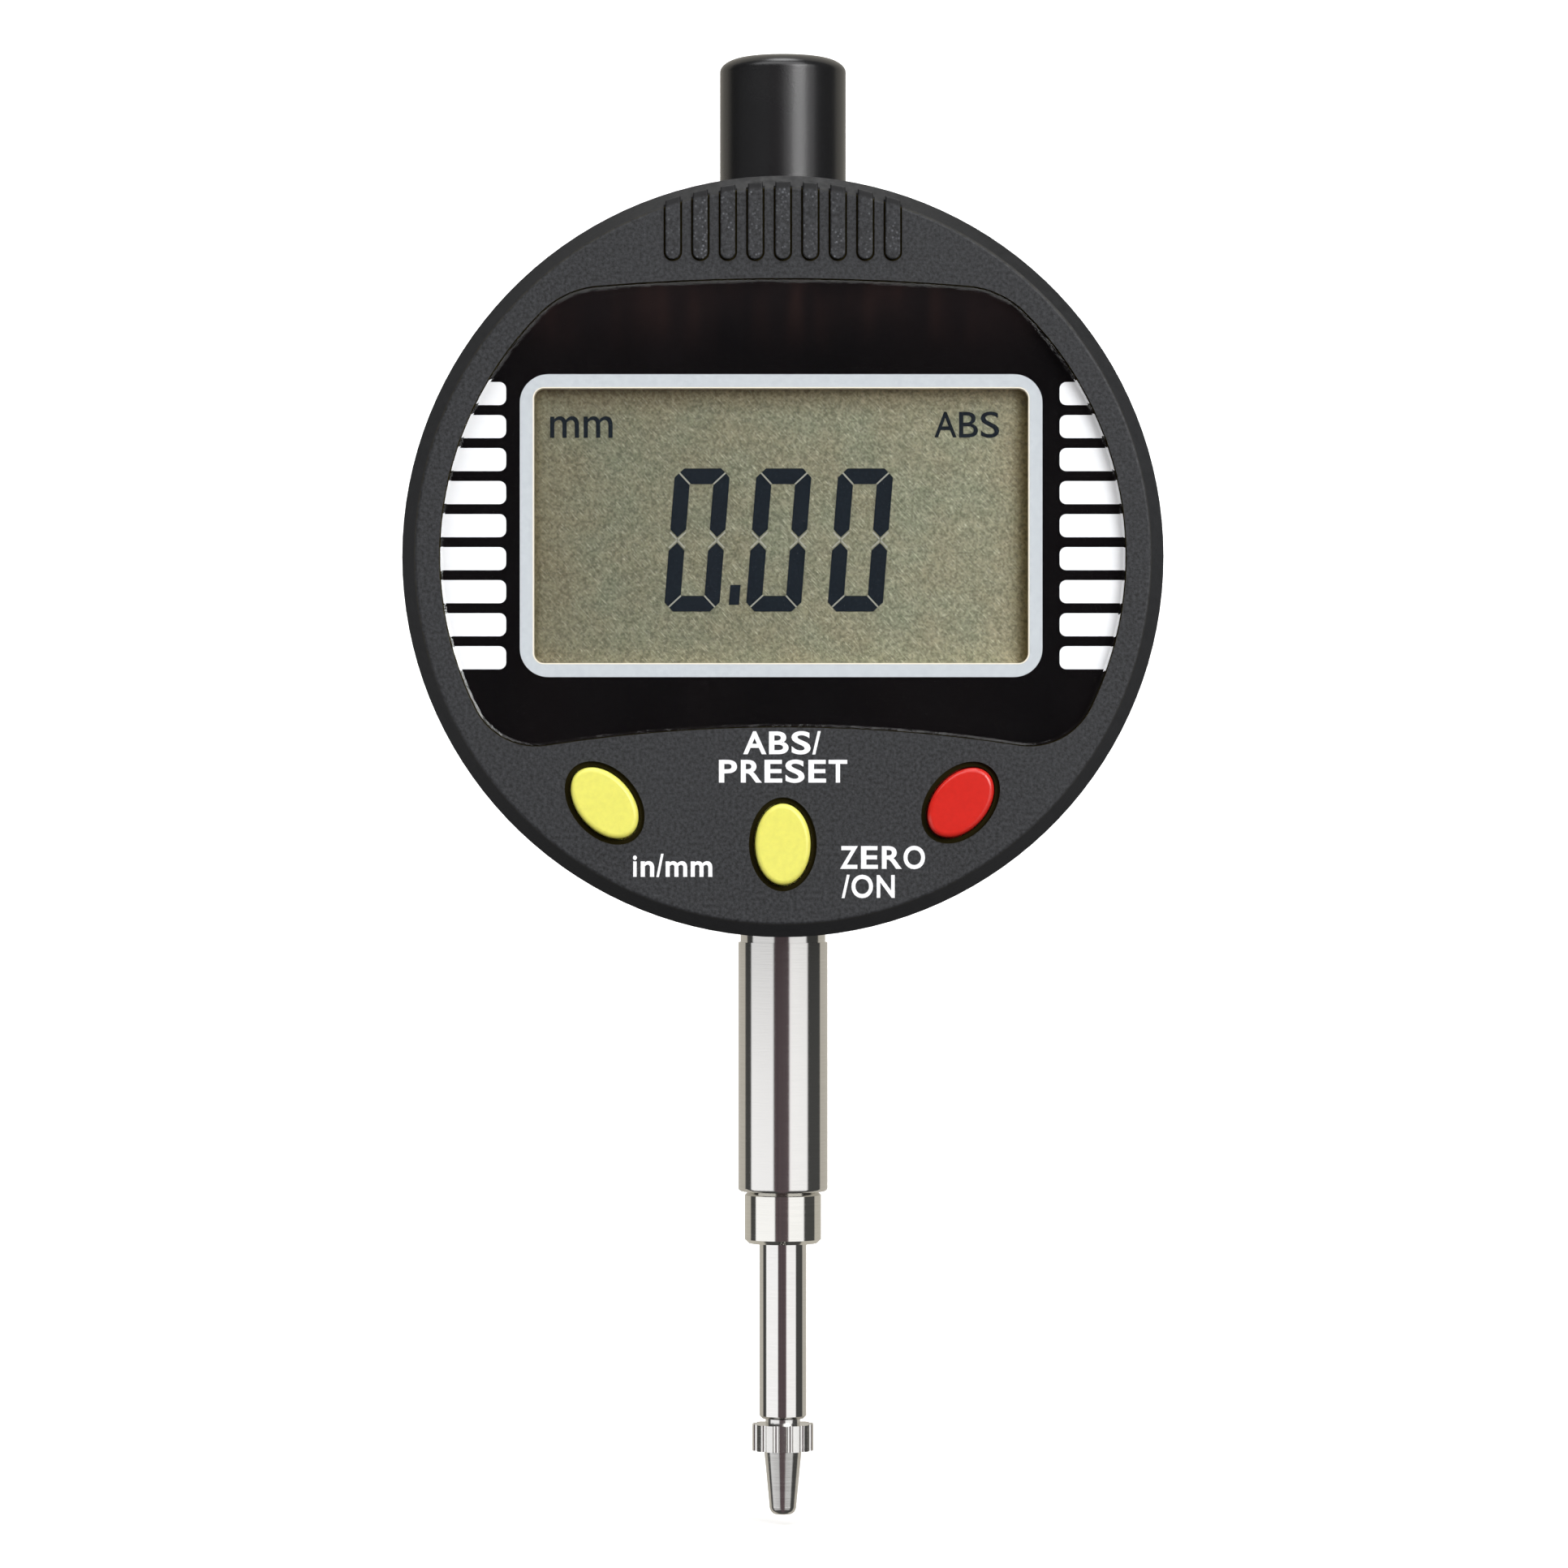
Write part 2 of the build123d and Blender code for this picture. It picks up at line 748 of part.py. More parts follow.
with BuildPart() as board_screws:
    with BuildSketch(facing(board_back)):
        with Locations(board_screw_spots):
            Circle(board_screw_r)
    extrude(amount=board_screw_length - screw_end_gap)
    with BuildSketch(facing(board_back + board_screw_head_height)):
        with Locations(board_screw_spots):
            Circle(board_screw_head_r)
    extrude(amount=board_screw_head_height)
save(board_screws, "board_screws")

with BuildPart() as driver_chip:
    with BuildSketch(facing(board_front)):
        with Locations((0, chip_z)):
            RectangleRounded(chip_size, chip_size, chip_corner_r)
    extrude(amount=chip_height)
save(driver_chip, "driver_chip")

with BuildPart() as crystal:
    with BuildSketch(level(body_z + crystal_z)):
        with Locations((crystal_x, board_back + crystal_r)):
            Circle(crystal_r)
    extrude(amount=crystal_length)
save(crystal, "crystal")

with BuildPart() as capacitor:
    with BuildSketch(facing(board_back + capacitor_size[1])):
        with Locations((capacitor_x, capacitor_z)):
            Rectangle(capacitor_size[0], capacitor_size[2])
    extrude(amount=capacitor_size[1])
save(capacitor, "capacitor")

with BuildPart() as encoder_stator:
    with BuildSketch(facing(stator_back)):
        with Locations((0, (stator_bottom + stator_top) / 2 - body_z)):
            Rectangle(stator_width, stator_top - stator_bottom)
    extrude(amount=stator_thickness)
save(encoder_stator, "encoder_stator")

# Buttons with their flanges, the switch plungers behind them, and the switches
for name, (x, z, long_half, short_half, turn) in button_places.items():
    with BuildPart() as button:
        with BuildSketch(facing(flange_front, x, z)):
            Ellipse(long_half, short_half, rotation=turn)
        extrude(amount=flange_front - face_y + button_rise)
        fillet(button.faces().sort_by(Axis.Y)[0].edges(), button_crown)
        with BuildSketch(facing(flange_back, x, z)):
            Ellipse(long_half + flange_lap, short_half + flange_lap, rotation=turn)
        extrude(amount=flange_thickness)
    save(button, f"{name}_button")
    with BuildPart() as switch_plunger:
        with BuildSketch(facing(switch_front + plunger_inset, x, z)):
            Circle(plunger_r)
        extrude(amount=switch_front + plunger_inset - flange_back)
    save(switch_plunger, f"{name}_switch_plunger")
    with BuildPart() as key_switch:
        with BuildSketch(facing(board_front, x, z)):
            Rectangle(switch_width, switch_width)
        extrude(amount=switch_height)
        with BuildSketch(facing(switch_front + switch_recess, x, z)):
            Circle(plunger_r + plunger_gap)
        extrude(amount=switch_recess, mode=Mode.SUBTRACT)
    save(key_switch, f"{name}_key_switch")

# Clamping stem, with a narrow groove against the case
with BuildPart() as stem:
    with BuildSketch(level(stem_end)):
        Circle(stem_r)
        Circle(stem_bore_r, mode=Mode.SUBTRACT)
    extrude(amount=stem_top - stem_end)
    with BuildSketch(level(stem_length / 2 - stem_groove_height)):
        Circle(stem_r)
        Circle(stem_r - stem_groove_depth, mode=Mode.SUBTRACT)
    extrude(amount=stem_groove_height, mode=Mode.SUBTRACT)
    fillet(stem.edges().group_by(Axis.Z)[0].sort_by(SortBy.RADIUS)[-1], stem_round)
save(stem, "stem")

with BuildPart() as lower_bush:
    with BuildSketch(level(stem_end - bush_nose_length)):
        Circle(bush_nose_r)
    extrude(amount=bush_nose_length)
    chamfer(lower_bush.edges().filter_by(GeomType.CIRCLE), bush_chamfer)
    with BuildSketch(level(stem_end)):
        Circle(stem_bore_r)
    extrude(amount=bush_shank_length)
    with BuildSketch(level(stem_end - bush_nose_length)):
        Circle(spindle_r + running_gap)
    extrude(amount=bush_nose_length + bush_shank_length, mode=Mode.SUBTRACT)
save(lower_bush, "lower_bush")

# Upper bush: shank in the upper boss, spigot for the cap above it
with BuildPart() as upper_bush:
    with BuildSketch(level(upper_boss_bottom)):
        Circle(upper_bush_r)
    extrude(amount=cap_seat - upper_boss_bottom)
    with BuildSketch(level(cap_seat)):
        Circle(spigot_r)
    extrude(amount=spigot_height)
    with BuildSketch(level(upper_boss_bottom)):
        Circle(spindle_r + running_gap)
    extrude(amount=cap_seat + spigot_height - upper_boss_bottom, mode=Mode.SUBTRACT)
save(upper_bush, "upper_bush")

# Hollow cap over the top of the spindle
with BuildPart() as spindle_cap:
    with BuildSketch(Plane.XZ):
        with BuildLine():
            shoulder = cap_top - cap_round_height
            Polyline(
                (0, cap_top),
                (0, cap_inner_top),
                (cap_bore_r, cap_inner_top),
                (cap_bore_r, cap_seat + spigot_height + cap_spot_gap),
                (spigot_r, cap_seat + spigot_height + cap_spot_gap),
                (spigot_r, cap_seat),
                (cap_r, cap_seat),
                (cap_r, shoulder),
            )
            EllipticalCenterArc(
                (cap_r - cap_round_width, shoulder), cap_round_width, cap_round_height
            )
            Line((cap_r - cap_round_width, cap_top), (0, cap_top))
        make_face()
    revolve(axis=Axis.Z)
save(spindle_cap, "spindle_cap")

with BuildPart() as stop_washer:
    with BuildSketch(level(lower_boss_top)):
        Circle(washer_r)
        Circle(washer_bore_r, mode=Mode.SUBTRACT)
    extrude(amount=washer_thickness)
save(stop_washer, "stop_washer")

# Spindle, drilled at its lower end for the contact point
with BuildPart() as spindle:
    with BuildSketch(level(spindle_bottom)):
        Circle(spindle_r)
    extrude(amount=spindle_top - spindle_bottom)
    chamfer(spindle.edges().filter_by(GeomType.CIRCLE), spindle_chamfer)
    with BuildSketch(level(spindle_bottom)):
        Circle(stud_r)
    extrude(amount=stud_length, mode=Mode.SUBTRACT)
save(spindle, "spindle")

# Contact point with its fluted collar
with BuildPart() as contact_point:
    collar_top = spindle_bottom - neck_length
    collar_bottom = collar_top - collar_height
    taper_bottom = collar_bottom - taper_length
    with BuildSketch(Plane.XZ):
        with BuildLine():
            Polyline(
                (0, taper_bottom - nose_height),
                (0, spindle_bottom + stud_length),
                (stud_r, spindle_bottom + stud_length),
                (stud_r, spindle_bottom),
                (neck_r, spindle_bottom),
                (neck_r, collar_top),
                (collar_r, collar_top),
                (collar_r, collar_bottom),
                (taper_top_r, collar_bottom),
                (taper_end_r, taper_bottom),
            )
            EllipticalCenterArc(
                (nose_flat_r, taper_bottom), taper_end_r - nose_flat_r, nose_height, 270
            )
            Line((nose_flat_r, taper_bottom - nose_height), (0, taper_bottom - nose_height))
        make_face()
    revolve(axis=Axis.Z)
    with BuildSketch(level(collar_bottom)):
        with PolarLocations(collar_r + flute_r / 4, flute_count):
            Circle(flute_r)
    extrude(amount=collar_height, mode=Mode.SUBTRACT)
save(contact_point, "contact_point")

# Carrier clamped on the spindle, with the plate that backs the scale strip
with BuildPart() as carrier:
    with BuildSketch(level(carrier_bottom)):
        with Locations((0, (strip_back + carrier_back) / 2)):
            Rectangle(2 * carrier_half_width, carrier_back - strip_back)
        Circle(spindle_r, mode=Mode.SUBTRACT)
    extrude(amount=carrier_height)
    with BuildSketch(level(carrier_bottom)):
        with Locations((0, (strip_back + plate_back) / 2)):
            Rectangle(2 * carrier_half_width, plate_thickness)
    extrude(amount=strip_top - carrier_bottom)
    with BuildSketch(Plane(origin=(0, 0, pin_z), x_dir=(1, 0, 0), z_dir=(0, 1, 0))):
        Circle(set_screw_r)
    extrude(amount=carrier_back, mode=Mode.SUBTRACT)
    with BuildSketch(across(-carrier_half_width)):
        with Locations((0, pin_z)):
            Circle(pin_r)
    extrude(amount=carrier_half_width - pin_root, mode=Mode.SUBTRACT)
save(carrier, "carrier")

with BuildPart() as carrier_screw:
    with BuildSketch(Plane(origin=(0, spindle_r, pin_z), x_dir=(1, 0, 0), z_dir=(0, 1, 0))):
        Circle(set_screw_r)
    extrude(amount=carrier_back + set_screw_stand - spindle_r)
save(carrier_screw, "carrier_screw")

with BuildPart() as guide_pin:
    with BuildSketch(across(-pin_reach)):
        with Locations((0, pin_z)):
            Circle(pin_r)
    extrude(amount=pin_reach - pin_root)
save(guide_pin, "guide_pin")

with BuildPart() as scale_strip:
    with BuildSketch(facing(strip_back)):
        with Locations((0, (strip_bottom + strip_top) / 2 - body_z)):
            Rectangle(2 * carrier_half_width, strip_top - strip_bottom)
    extrude(amount=strip_thickness)
save(scale_strip, "scale_strip")

# Slotted rail that keeps the pin, and so the spindle, from turning
with BuildPart() as guide_rail:
    with BuildSketch(level(rail_bottom)):
        with Locations((rib_x + rail_depth / 2, 0)):
            Rectangle(rail_depth, 2 * rail_half_width)
        with Locations((rail_slot_floor, 0)):
            Rectangle(
                rail_x - rail_slot_floor,
                2 * (pin_r + pin_gap),
                align=(Align.MIN, Align.CENTER),
                mode=Mode.SUBTRACT,
            )
    extrude(amount=rail_top - rail_bottom)
    for z in (rail_bottom + rail_screw_inset, rail_top - rail_screw_inset):
        with BuildSketch(across(rib_x)):
            with Locations((0, z)):
                Circle(rail_screw_r)
        extrude(amount=rail_slot_floor - rib_x, mode=Mode.SUBTRACT)
save(guide_rail, "guide_rail")

with BuildPart() as rail_screws:
    rib_outside = rib_x - rib_thickness
    for z in (rail_bottom + rail_screw_inset, rail_top - rail_screw_inset):
        with BuildSketch(across(rib_outside)):
            with Locations((0, z)):
                Circle(rail_screw_r)
        extrude(amount=rail_slot_floor - rib_outside - pin_gap)
        with BuildSketch(across(rib_outside - rail_screw_head_height)):
            with Locations((0, z)):
                Circle(rail_screw_head_r)
        extrude(amount=rail_screw_head_height)
save(rail_screws, "rail_screws")

# Return spring between the carrier and the upper boss
with BuildPart() as return_spring:
    spring_height = upper_boss_bottom - carrier_top - 2 * spring_wire_r
    with BuildLine(level(carrier_top + spring_wire_r)) as coil:
        Helix(spring_height / spring_turns, spring_height, spring_r)
    with BuildSketch(Plane(origin=coil.line @ 0, z_dir=coil.line % 0)):
        Circle(spring_wire_r)
    sweep(path=coil.line, is_frenet=True)
save(return_spring, "return_spring")

# Battery cup behind the board, with the bayonet groove at its mouth
with BuildPart() as battery_holder:
    with BuildSketch(facing(cover_y, battery_x, battery_z)):
        Circle(holder_r)
    extrude(amount=cover_y - holder_front)
    with BuildSketch(facing(cover_y, battery_x, battery_z)):
        Circle(holder_flange_r)
    extrude(amount=holder_flange)
    with BuildSketch(facing(cover_y, battery_x, battery_z)):
        Circle(holder_bore_r)
    extrude(amount=cover_y - holder_front - holder_floor, mode=Mode.SUBTRACT)
    groove_front = battery_cap_boss_end + bayonet_lift - bayonet_gap
    groove_height = bayonet_lug_height + 2 * bayonet_gap
    with BuildSketch(facing(groove_front + groove_height, battery_x, battery_z)):
        Circle(bayonet_lug_r + bayonet_gap)
    extrude(amount=groove_height, mode=Mode.SUBTRACT)
    entry_angle = bayonet_lug_angle + bayonet_entry_margin
    for middle in (-bayonet_turn, 180 - bayonet_turn):
        with BuildSketch(facing(cover_y, battery_x, battery_z)):
            add(sector(bayonet_lug_r + bayonet_gap, middle, entry_angle))
        extrude(amount=cover_y - groove_front, mode=Mode.SUBTRACT)
    with BuildSketch(facing(holder_front + holder_floor, battery_x, battery_z)):
        Circle(contact_pin_r + contact_pin_gap)
    extrude(amount=holder_floor, mode=Mode.SUBTRACT)
    with BuildSketch(facing(contact_strip_end + contact_strip_gap, battery_x, battery_z)):
        with Locations((0, battery_r - contact_strip_gap)):
            Rectangle(
                contact_strip_width + 2 * contact_strip_gap,
                contact_strip_thickness + 2 * contact_strip_gap,
                align=(Align.CENTER, Align.MIN),
            )
    extrude(amount=contact_strip_end + contact_strip_gap - holder_front, mode=Mode.SUBTRACT)
save(battery_holder, "battery_holder")

with BuildPart() as battery_cell:
    with BuildSketch(facing(battery_back, battery_x, battery_z)):
        Circle(battery_r)
    extrude(amount=battery_height)
save(battery_cell, "battery_cell")

with BuildPart() as battery_contact_negative:
    with BuildSketch(facing(battery_front, battery_x, battery_z)):
        Circle(contact_pin_r)
    extrude(amount=battery_front - board_back)
save(battery_contact_negative, "battery_contact_negative")

with BuildPart() as battery_contact_positive:
    with BuildSketch(facing(contact_strip_end, battery_x, battery_z)):
        with Locations((0, battery_r)):
            Rectangle(
                contact_strip_width,
                contact_strip_thickness,
                align=(Align.CENTER, Align.MIN),
            )
    extrude(amount=contact_strip_end - board_back)
save(battery_contact_positive, "battery_contact_positive")

# Battery cap with its coin slot and two bayonet lugs
with BuildPart() as battery_cap:
    with BuildSketch(facing(cap_disc_back, battery_x, battery_z)):
        Circle(cover_hole_r - battery_cap_gap)
    extrude(amount=cap_disc_back - cap_disc_front)
    with BuildSketch(facing(cap_disc_front, battery_x, battery_z)):
        Circle(battery_cap_boss_r)
    extrude(amount=battery_cap_boss)
    lug_back = battery_cap_boss_end + bayonet_lift + bayonet_lug_height
    for middle in (0, 180):
        with BuildSketch(facing(lug_back, battery_x, battery_z)):
            add(sector(bayonet_lug_r, middle, bayonet_lug_angle))
        extrude(amount=bayonet_lug_height)
    with BuildSketch(facing(cap_disc_back, battery_x, battery_z)):
        SlotOverall(coin_slot_length, coin_slot_width)
    extrude(amount=coin_slot_depth, mode=Mode.SUBTRACT)
save(battery_cap, "battery_cap")

with BuildPart() as battery_cap_seal:
    with BuildSketch(facing(cap_disc_front, battery_x, battery_z)):
        Circle(cover_hole_r - 2 * battery_cap_gap)
        Circle(seal_inner_r, mode=Mode.SUBTRACT)
    extrude(amount=seal_thickness)
save(battery_cap_seal, "battery_cap_seal")
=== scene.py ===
import math
import bmesh
import bpy
from bpy.props import FloatProperty, FloatVectorProperty, IntProperty, PointerProperty
from mathutils import Matrix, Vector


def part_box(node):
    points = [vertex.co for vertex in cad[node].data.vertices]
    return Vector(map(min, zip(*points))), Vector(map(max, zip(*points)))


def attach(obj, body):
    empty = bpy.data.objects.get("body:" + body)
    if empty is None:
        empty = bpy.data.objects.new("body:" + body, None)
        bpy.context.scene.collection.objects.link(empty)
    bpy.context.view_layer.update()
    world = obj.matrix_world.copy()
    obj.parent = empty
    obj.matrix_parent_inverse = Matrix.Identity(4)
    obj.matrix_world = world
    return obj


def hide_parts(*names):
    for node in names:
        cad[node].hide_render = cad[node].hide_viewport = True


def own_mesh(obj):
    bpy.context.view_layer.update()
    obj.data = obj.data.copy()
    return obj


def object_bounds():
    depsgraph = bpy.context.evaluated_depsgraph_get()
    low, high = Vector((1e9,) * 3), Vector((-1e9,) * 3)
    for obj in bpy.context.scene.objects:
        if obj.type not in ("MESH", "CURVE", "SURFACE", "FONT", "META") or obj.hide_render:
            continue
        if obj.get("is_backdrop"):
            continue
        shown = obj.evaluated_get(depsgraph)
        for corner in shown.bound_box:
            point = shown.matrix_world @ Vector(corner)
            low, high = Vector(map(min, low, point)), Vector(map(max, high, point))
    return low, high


bl_info = {
    "name": "Digital Indicator",
    "version": (1, 0, 0),
    "blender": (4, 5, 0),
    "location": "View3D > Sidebar > Indicator",
    "description": "Finishes, printed words, display, spring and stage of a digital plunger indicator",
    "category": "Object",
}

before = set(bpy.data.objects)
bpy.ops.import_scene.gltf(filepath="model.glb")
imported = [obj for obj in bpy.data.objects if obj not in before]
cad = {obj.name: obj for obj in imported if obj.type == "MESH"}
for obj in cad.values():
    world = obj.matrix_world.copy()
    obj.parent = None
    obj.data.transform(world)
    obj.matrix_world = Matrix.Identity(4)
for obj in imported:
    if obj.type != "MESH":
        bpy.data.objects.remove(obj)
MM = 0.001


def tone(red, green, blue):
    """Linear colour of a screen colour given in steps of 0 to 255."""
    return tuple((step / 255) ** 2.2 for step in (red, green, blue))


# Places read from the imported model, in metres
housing_low, housing_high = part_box("front_housing")
panel_low, panel_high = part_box("window_panel")
border_low, border_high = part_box("display_frame")
glass_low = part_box("display_glass")[0]
case_middle = (housing_low + housing_high) / 2
case_radius = (housing_high.x - housing_low.x) / 2
border_middle = (border_low + border_high) / 2
panel_sunk = 0.2 * MM
case_face = panel_low.y - panel_sunk
border_band = 1.23 * MM
digit_shift = -0.21 * MM


def length(name, value, about):
    """Property in metres."""
    return FloatProperty(name=name, default=value, unit="LENGTH", description=about)


def colour(name, value, about):
    """Property that is a linear colour."""
    return FloatVectorProperty(name=name, default=value, subtype="COLOR", description=about)


class IndicatorSizes(bpy.types.PropertyGroup):
    """Sizes of what is printed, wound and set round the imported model."""

    word_height: length("Word height", 2.0 * MM, "Height of the capitals printed on the case")
    word_weight: FloatProperty(
        name="Word weight", default=0.021,
        description="How far the strokes of the printed words are fattened, as a share of their size",
    )
    print_film: length("Print thickness", 0.02 * MM, "Thickness of the printed paint")
    line_width: length(
        "Line width", 0.13 * MM, "Width of the light lines between the segments of the digits"
    )
    spring_turns: IntProperty(
        name="Spring turns", default=8, description="Turns of the return spring"
    )
    spring_wire: length("Spring wire", 0.2 * MM, "Radius of the return spring's wire")
    mark_pitch: length("Mark pitch", 1.0 * MM, "Step of the marks on the scale strip and its reader")
    camera_distance: length("Camera distance", 550 * MM, "Way from the spindle to the camera")


class IndicatorColours(bpy.types.PropertyGroup):
    """Colours of the main finishes."""

    case: colour("Case", tone(46, 47, 49), "Charcoal of the moulded front")
    print_white: colour("White print", tone(251, 252, 254), "Words on the case and bars beside the display")
    print_black: colour("Black print", tone(18, 17, 18), "Print behind the clear panel")
    display: colour("Display", tone(121, 124, 103), "Greenish grey of the display")
    segments: colour("Segments", tone(30, 36, 42), "Dark segments of the digits")
    yellow: colour("Yellow", tone(235, 231, 108), "Colour of the unit and preset buttons")
    red: colour("Red", tone(210, 43, 35), "Colour of the zero button")
    steel: colour("Steel", (0.74, 0.73, 0.71), "Ground and polished steel")


# Room at the left, width and step of each letter, in thousandths of the size of the type
TYPE = {
    "A": (5, 710, 722),
    "B": (73, 600, 722),
    "E": (73, 540, 667),
    "N": (73, 576, 722),
    "O": (44, 690, 778),
    "P": (73, 552, 667),
    "R": (73, 640, 722),
    "S": (40, 585, 667),
    "T": (21, 570, 611),
    "Z": (15, 570, 611),
    "/": (10, 258, 278),
    "i": (72, 137, 278),
    "m": (62, 765, 889),
    "n": (66, 480, 611),
}

# Nodes


class Wiring:
    """Emptied node tree of a material, a world or a group, and ways to fill it."""

    def __init__(self, tree):
        self.tree = tree
        tree.nodes.clear()

    def add(self, kind, values=(), **settings):
        """A new node with its settings, and with its inputs linked or set."""
        node = self.tree.nodes.new(kind)
        for key, value in settings.items():
            setattr(node, key, value)
        for place, value in dict(values).items():
            self.put(node.inputs[place], value)
        return node

    def put(self, socket, value):
        """Links a socket to an input, or sets a colour or number on it."""
        if isinstance(value, bpy.types.NodeSocket):
            self.tree.links.new(value, socket)
        elif socket.type == "RGBA":
            socket.default_value = (*value[:3], 1.0)
        else:
            socket.default_value = value

    def mix(self, mask, first, second, blend="MIX"):
        """Colour from first to second as the mask goes from 0 to 1."""
        values = {0: mask, 6: first, 7: second}
        return self.add("ShaderNodeMix", values, data_type="RGBA", blend_type=blend).outputs[2]

    def dim(self, colour, factor):
        """Colour times a number socket."""
        return self.mix(1.0, colour, factor, "MULTIPLY")

    def axis(self, vector, label):
        """One part, X, Y or Z, of a vector socket."""
        return self.add("ShaderNodeSeparateXYZ", {0: vector}).outputs[label]

    def span(self, mask, low, high, start=0.0, end=1.0, smooth=False):
        """Number from low to high as the mask goes from start to end."""
        return self.add(
            "ShaderNodeMapRange",
            {"Value": mask, "From Min": start, "From Max": end, "To Min": low, "To Max": high},
            interpolation_type="SMOOTHSTEP" if smooth else "LINEAR",
        ).outputs["Result"]

    def math(self, operation, *values):
        """Result of one sum on sockets or numbers."""
        return self.add("ShaderNodeMath", enumerate(values), operation=operation).outputs[0]

    def times(self, first, second):
        """Product of two sockets or numbers."""
        return self.math("MULTIPLY", first, second)

    def vector(self, operation, *values):
        """Result of one sum on vectors, or on a vector and a number where it is SCALE."""
        places = (0, "Scale") if operation == "SCALE" else (0, 1, 2)
        node = self.add("ShaderNodeVectorMath", zip(places, values), operation=operation)
        return node.outputs["Value" if operation == "LENGTH" else "Vector"]


class Effect(Wiring):
    """Shader group that more than one finish uses: numbers in, a mask and maybe a height out."""

    def __init__(self, name, outlets, **inlets):
        super().__init__(bpy.data.node_groups.new(name, "ShaderNodeTree"))
        sockets = self.tree.interface
        sockets.new_socket("Vector", in_out="INPUT", socket_type="NodeSocketVector")
        for label, value in inlets.items():
            socket = sockets.new_socket(label, in_out="INPUT", socket_type="NodeSocketFloat")
            socket.default_value = value
        for label in outlets:
            sockets.new_socket(label, in_out="OUTPUT", socket_type="NodeSocketFloat")
        self.inlet = self.add("NodeGroupInput").outputs
        self.outlet = self.add("NodeGroupOutput").inputs

    def shrunk(self, label):
        """The group's vector divided by one of its numbers."""
        share = self.math("DIVIDE", 1.0, self.inlet[label])
        return self.vector("SCALE", self.inlet["Vector"], share)

    def noise(self, vector, detail, low, high):
        """Puts out noise of unit scale: as a mask spread from low to high, and as a height."""
        values = {"Vector": vector, "Scale": 1.0, "Detail": detail, "Roughness": 0.6}
        pattern = self.add("ShaderNodeTexNoise", values).outputs["Fac"]
        self.put(self.outlet["Mask"], self.span(pattern, 0, 1, low, high))
        if "Height" in self.outlet:
            self.put(self.outlet["Height"], pattern)
        return self.tree


def grain_group():
    """Fine even grain of moulded plastic or paint."""
    group = Effect("grain", ["Mask", "Height"], Size=0.3 * MM)
    return group.noise(group.shrunk("Size"), 3.0, 0.34, 0.66)


def speck_group():
    """Sparse small specks: the mask is 1 in a speck."""
    group = Effect("specks", ["Mask"], Size=0.5 * MM, Reach=0.2)
    cells = group.add("ShaderNodeTexVoronoi", {"Vector": group.shrunk("Size"), "Scale": 1.0})
    near = group.span(cells.outputs["Distance"], 1, 0, 0, group.inlet["Reach"], True)
    group.put(group.outlet["Mask"], near)
    return group.tree


def turning_group():
    """Fine rings round the upright axis, as turning and grinding leave them."""
    group = Effect("turning", ["Mask", "Height"], Pitch=0.08 * MM)
    flat = group.vector("MULTIPLY", group.shrunk("Pitch"), (0.03, 0.03, 1.0))
    return group.noise(flat, 2.0, 0.3, 0.7)


def patch_group():
    """Large soft patches, as handling and uneven paint leave them."""
    group = Effect("patches", ["Mask"], Size=8 * MM)
    return group.noise(group.shrunk("Size"), 1.0, 0.3, 0.7)


def fibre_group():
    """Short thin strokes that all lie one way, down to the right."""
    group = Effect("fibres", ["Mask"], Size=0.1 * MM)
    lean, reach = (0.0, math.radians(-42), 0.0), (1.0, 1.0, 9.0)
    values = {"Vector": group.shrunk("Size"), "Rotation": lean, "Scale": reach}
    along = group.add("ShaderNodeMapping", values, vector_type="TEXTURE")
    return group.noise(along.outputs[0], 1.0, 0.56, 0.74)


groups = {}


def shared(name):
    """A shared group, built the first time that it is asked for."""
    makers = {
        "grain": grain_group,
        "specks": speck_group,
        "turning": turning_group,
        "patches": patch_group,
        "fibres": fibre_group,
    }
    if name not in groups:
        groups[name] = makers[name]()
    return groups[name]


class Finish(Wiring):
    """One material, with a principled shader that sockets and plain values are put into."""

    def __init__(self, name):
        self.material = bpy.data.materials.new(name)
        self.material.use_nodes = True
        super().__init__(self.material.node_tree)
        self.shader = self.add("ShaderNodeBsdfPrincipled")
        self.output = self.add("ShaderNodeOutputMaterial", {"Surface": self.shader.outputs["BSDF"]})
        self.place = self.add("ShaderNodeTexCoord").outputs["Object"]

    def set(self, **values):
        """Puts values into the shader, with underscores for the spaces in the sockets' names."""
        for label, value in values.items():
            self.put(self.shader.inputs[label.replace("_", " ")], value)
        return self

    def effect(self, name, vector=None, **values):
        """Places a shared group with its own values."""
        values["Vector"] = vector or self.place
        return self.add("ShaderNodeGroup", values, node_tree=shared(name)).outputs

    def bump(self, height, depth, strength=1.0, under=None):
        """Normal raised by a height socket, in metres for a height of 1."""
        values = {"Height": height, "Distance": depth, "Strength": strength}
        if under is not None:
            values["Normal"] = under
        return self.add("ShaderNodeBump", values).outputs["Normal"]

    def wear(self, *names):
        """Gives this finish to CAD nodes."""
        for name in names:
            mesh = cad[name].data
            mesh.materials.clear()
            mesh.materials.append(self.material)


def between(colour, factor):
    """Colour times a factor."""
    return tuple(channel * factor for channel in colour[:3])


def moulded(name, colour, size, roughness, depth, spread=0.22):
    """Moulded plastic or paint with a fine grain, in two near tones."""
    finish = Finish(name)
    grain = finish.effect("grain", Size=size)
    patches = finish.effect("patches")
    low, high = roughness
    finish.set(
        Base_Color=finish.mix(grain["Mask"], between(colour, 1 - spread), between(colour, 1 + spread)),
        Roughness=finish.span(patches["Mask"], low, high),
        Normal=finish.bump(grain["Height"], depth),
    )
    return finish


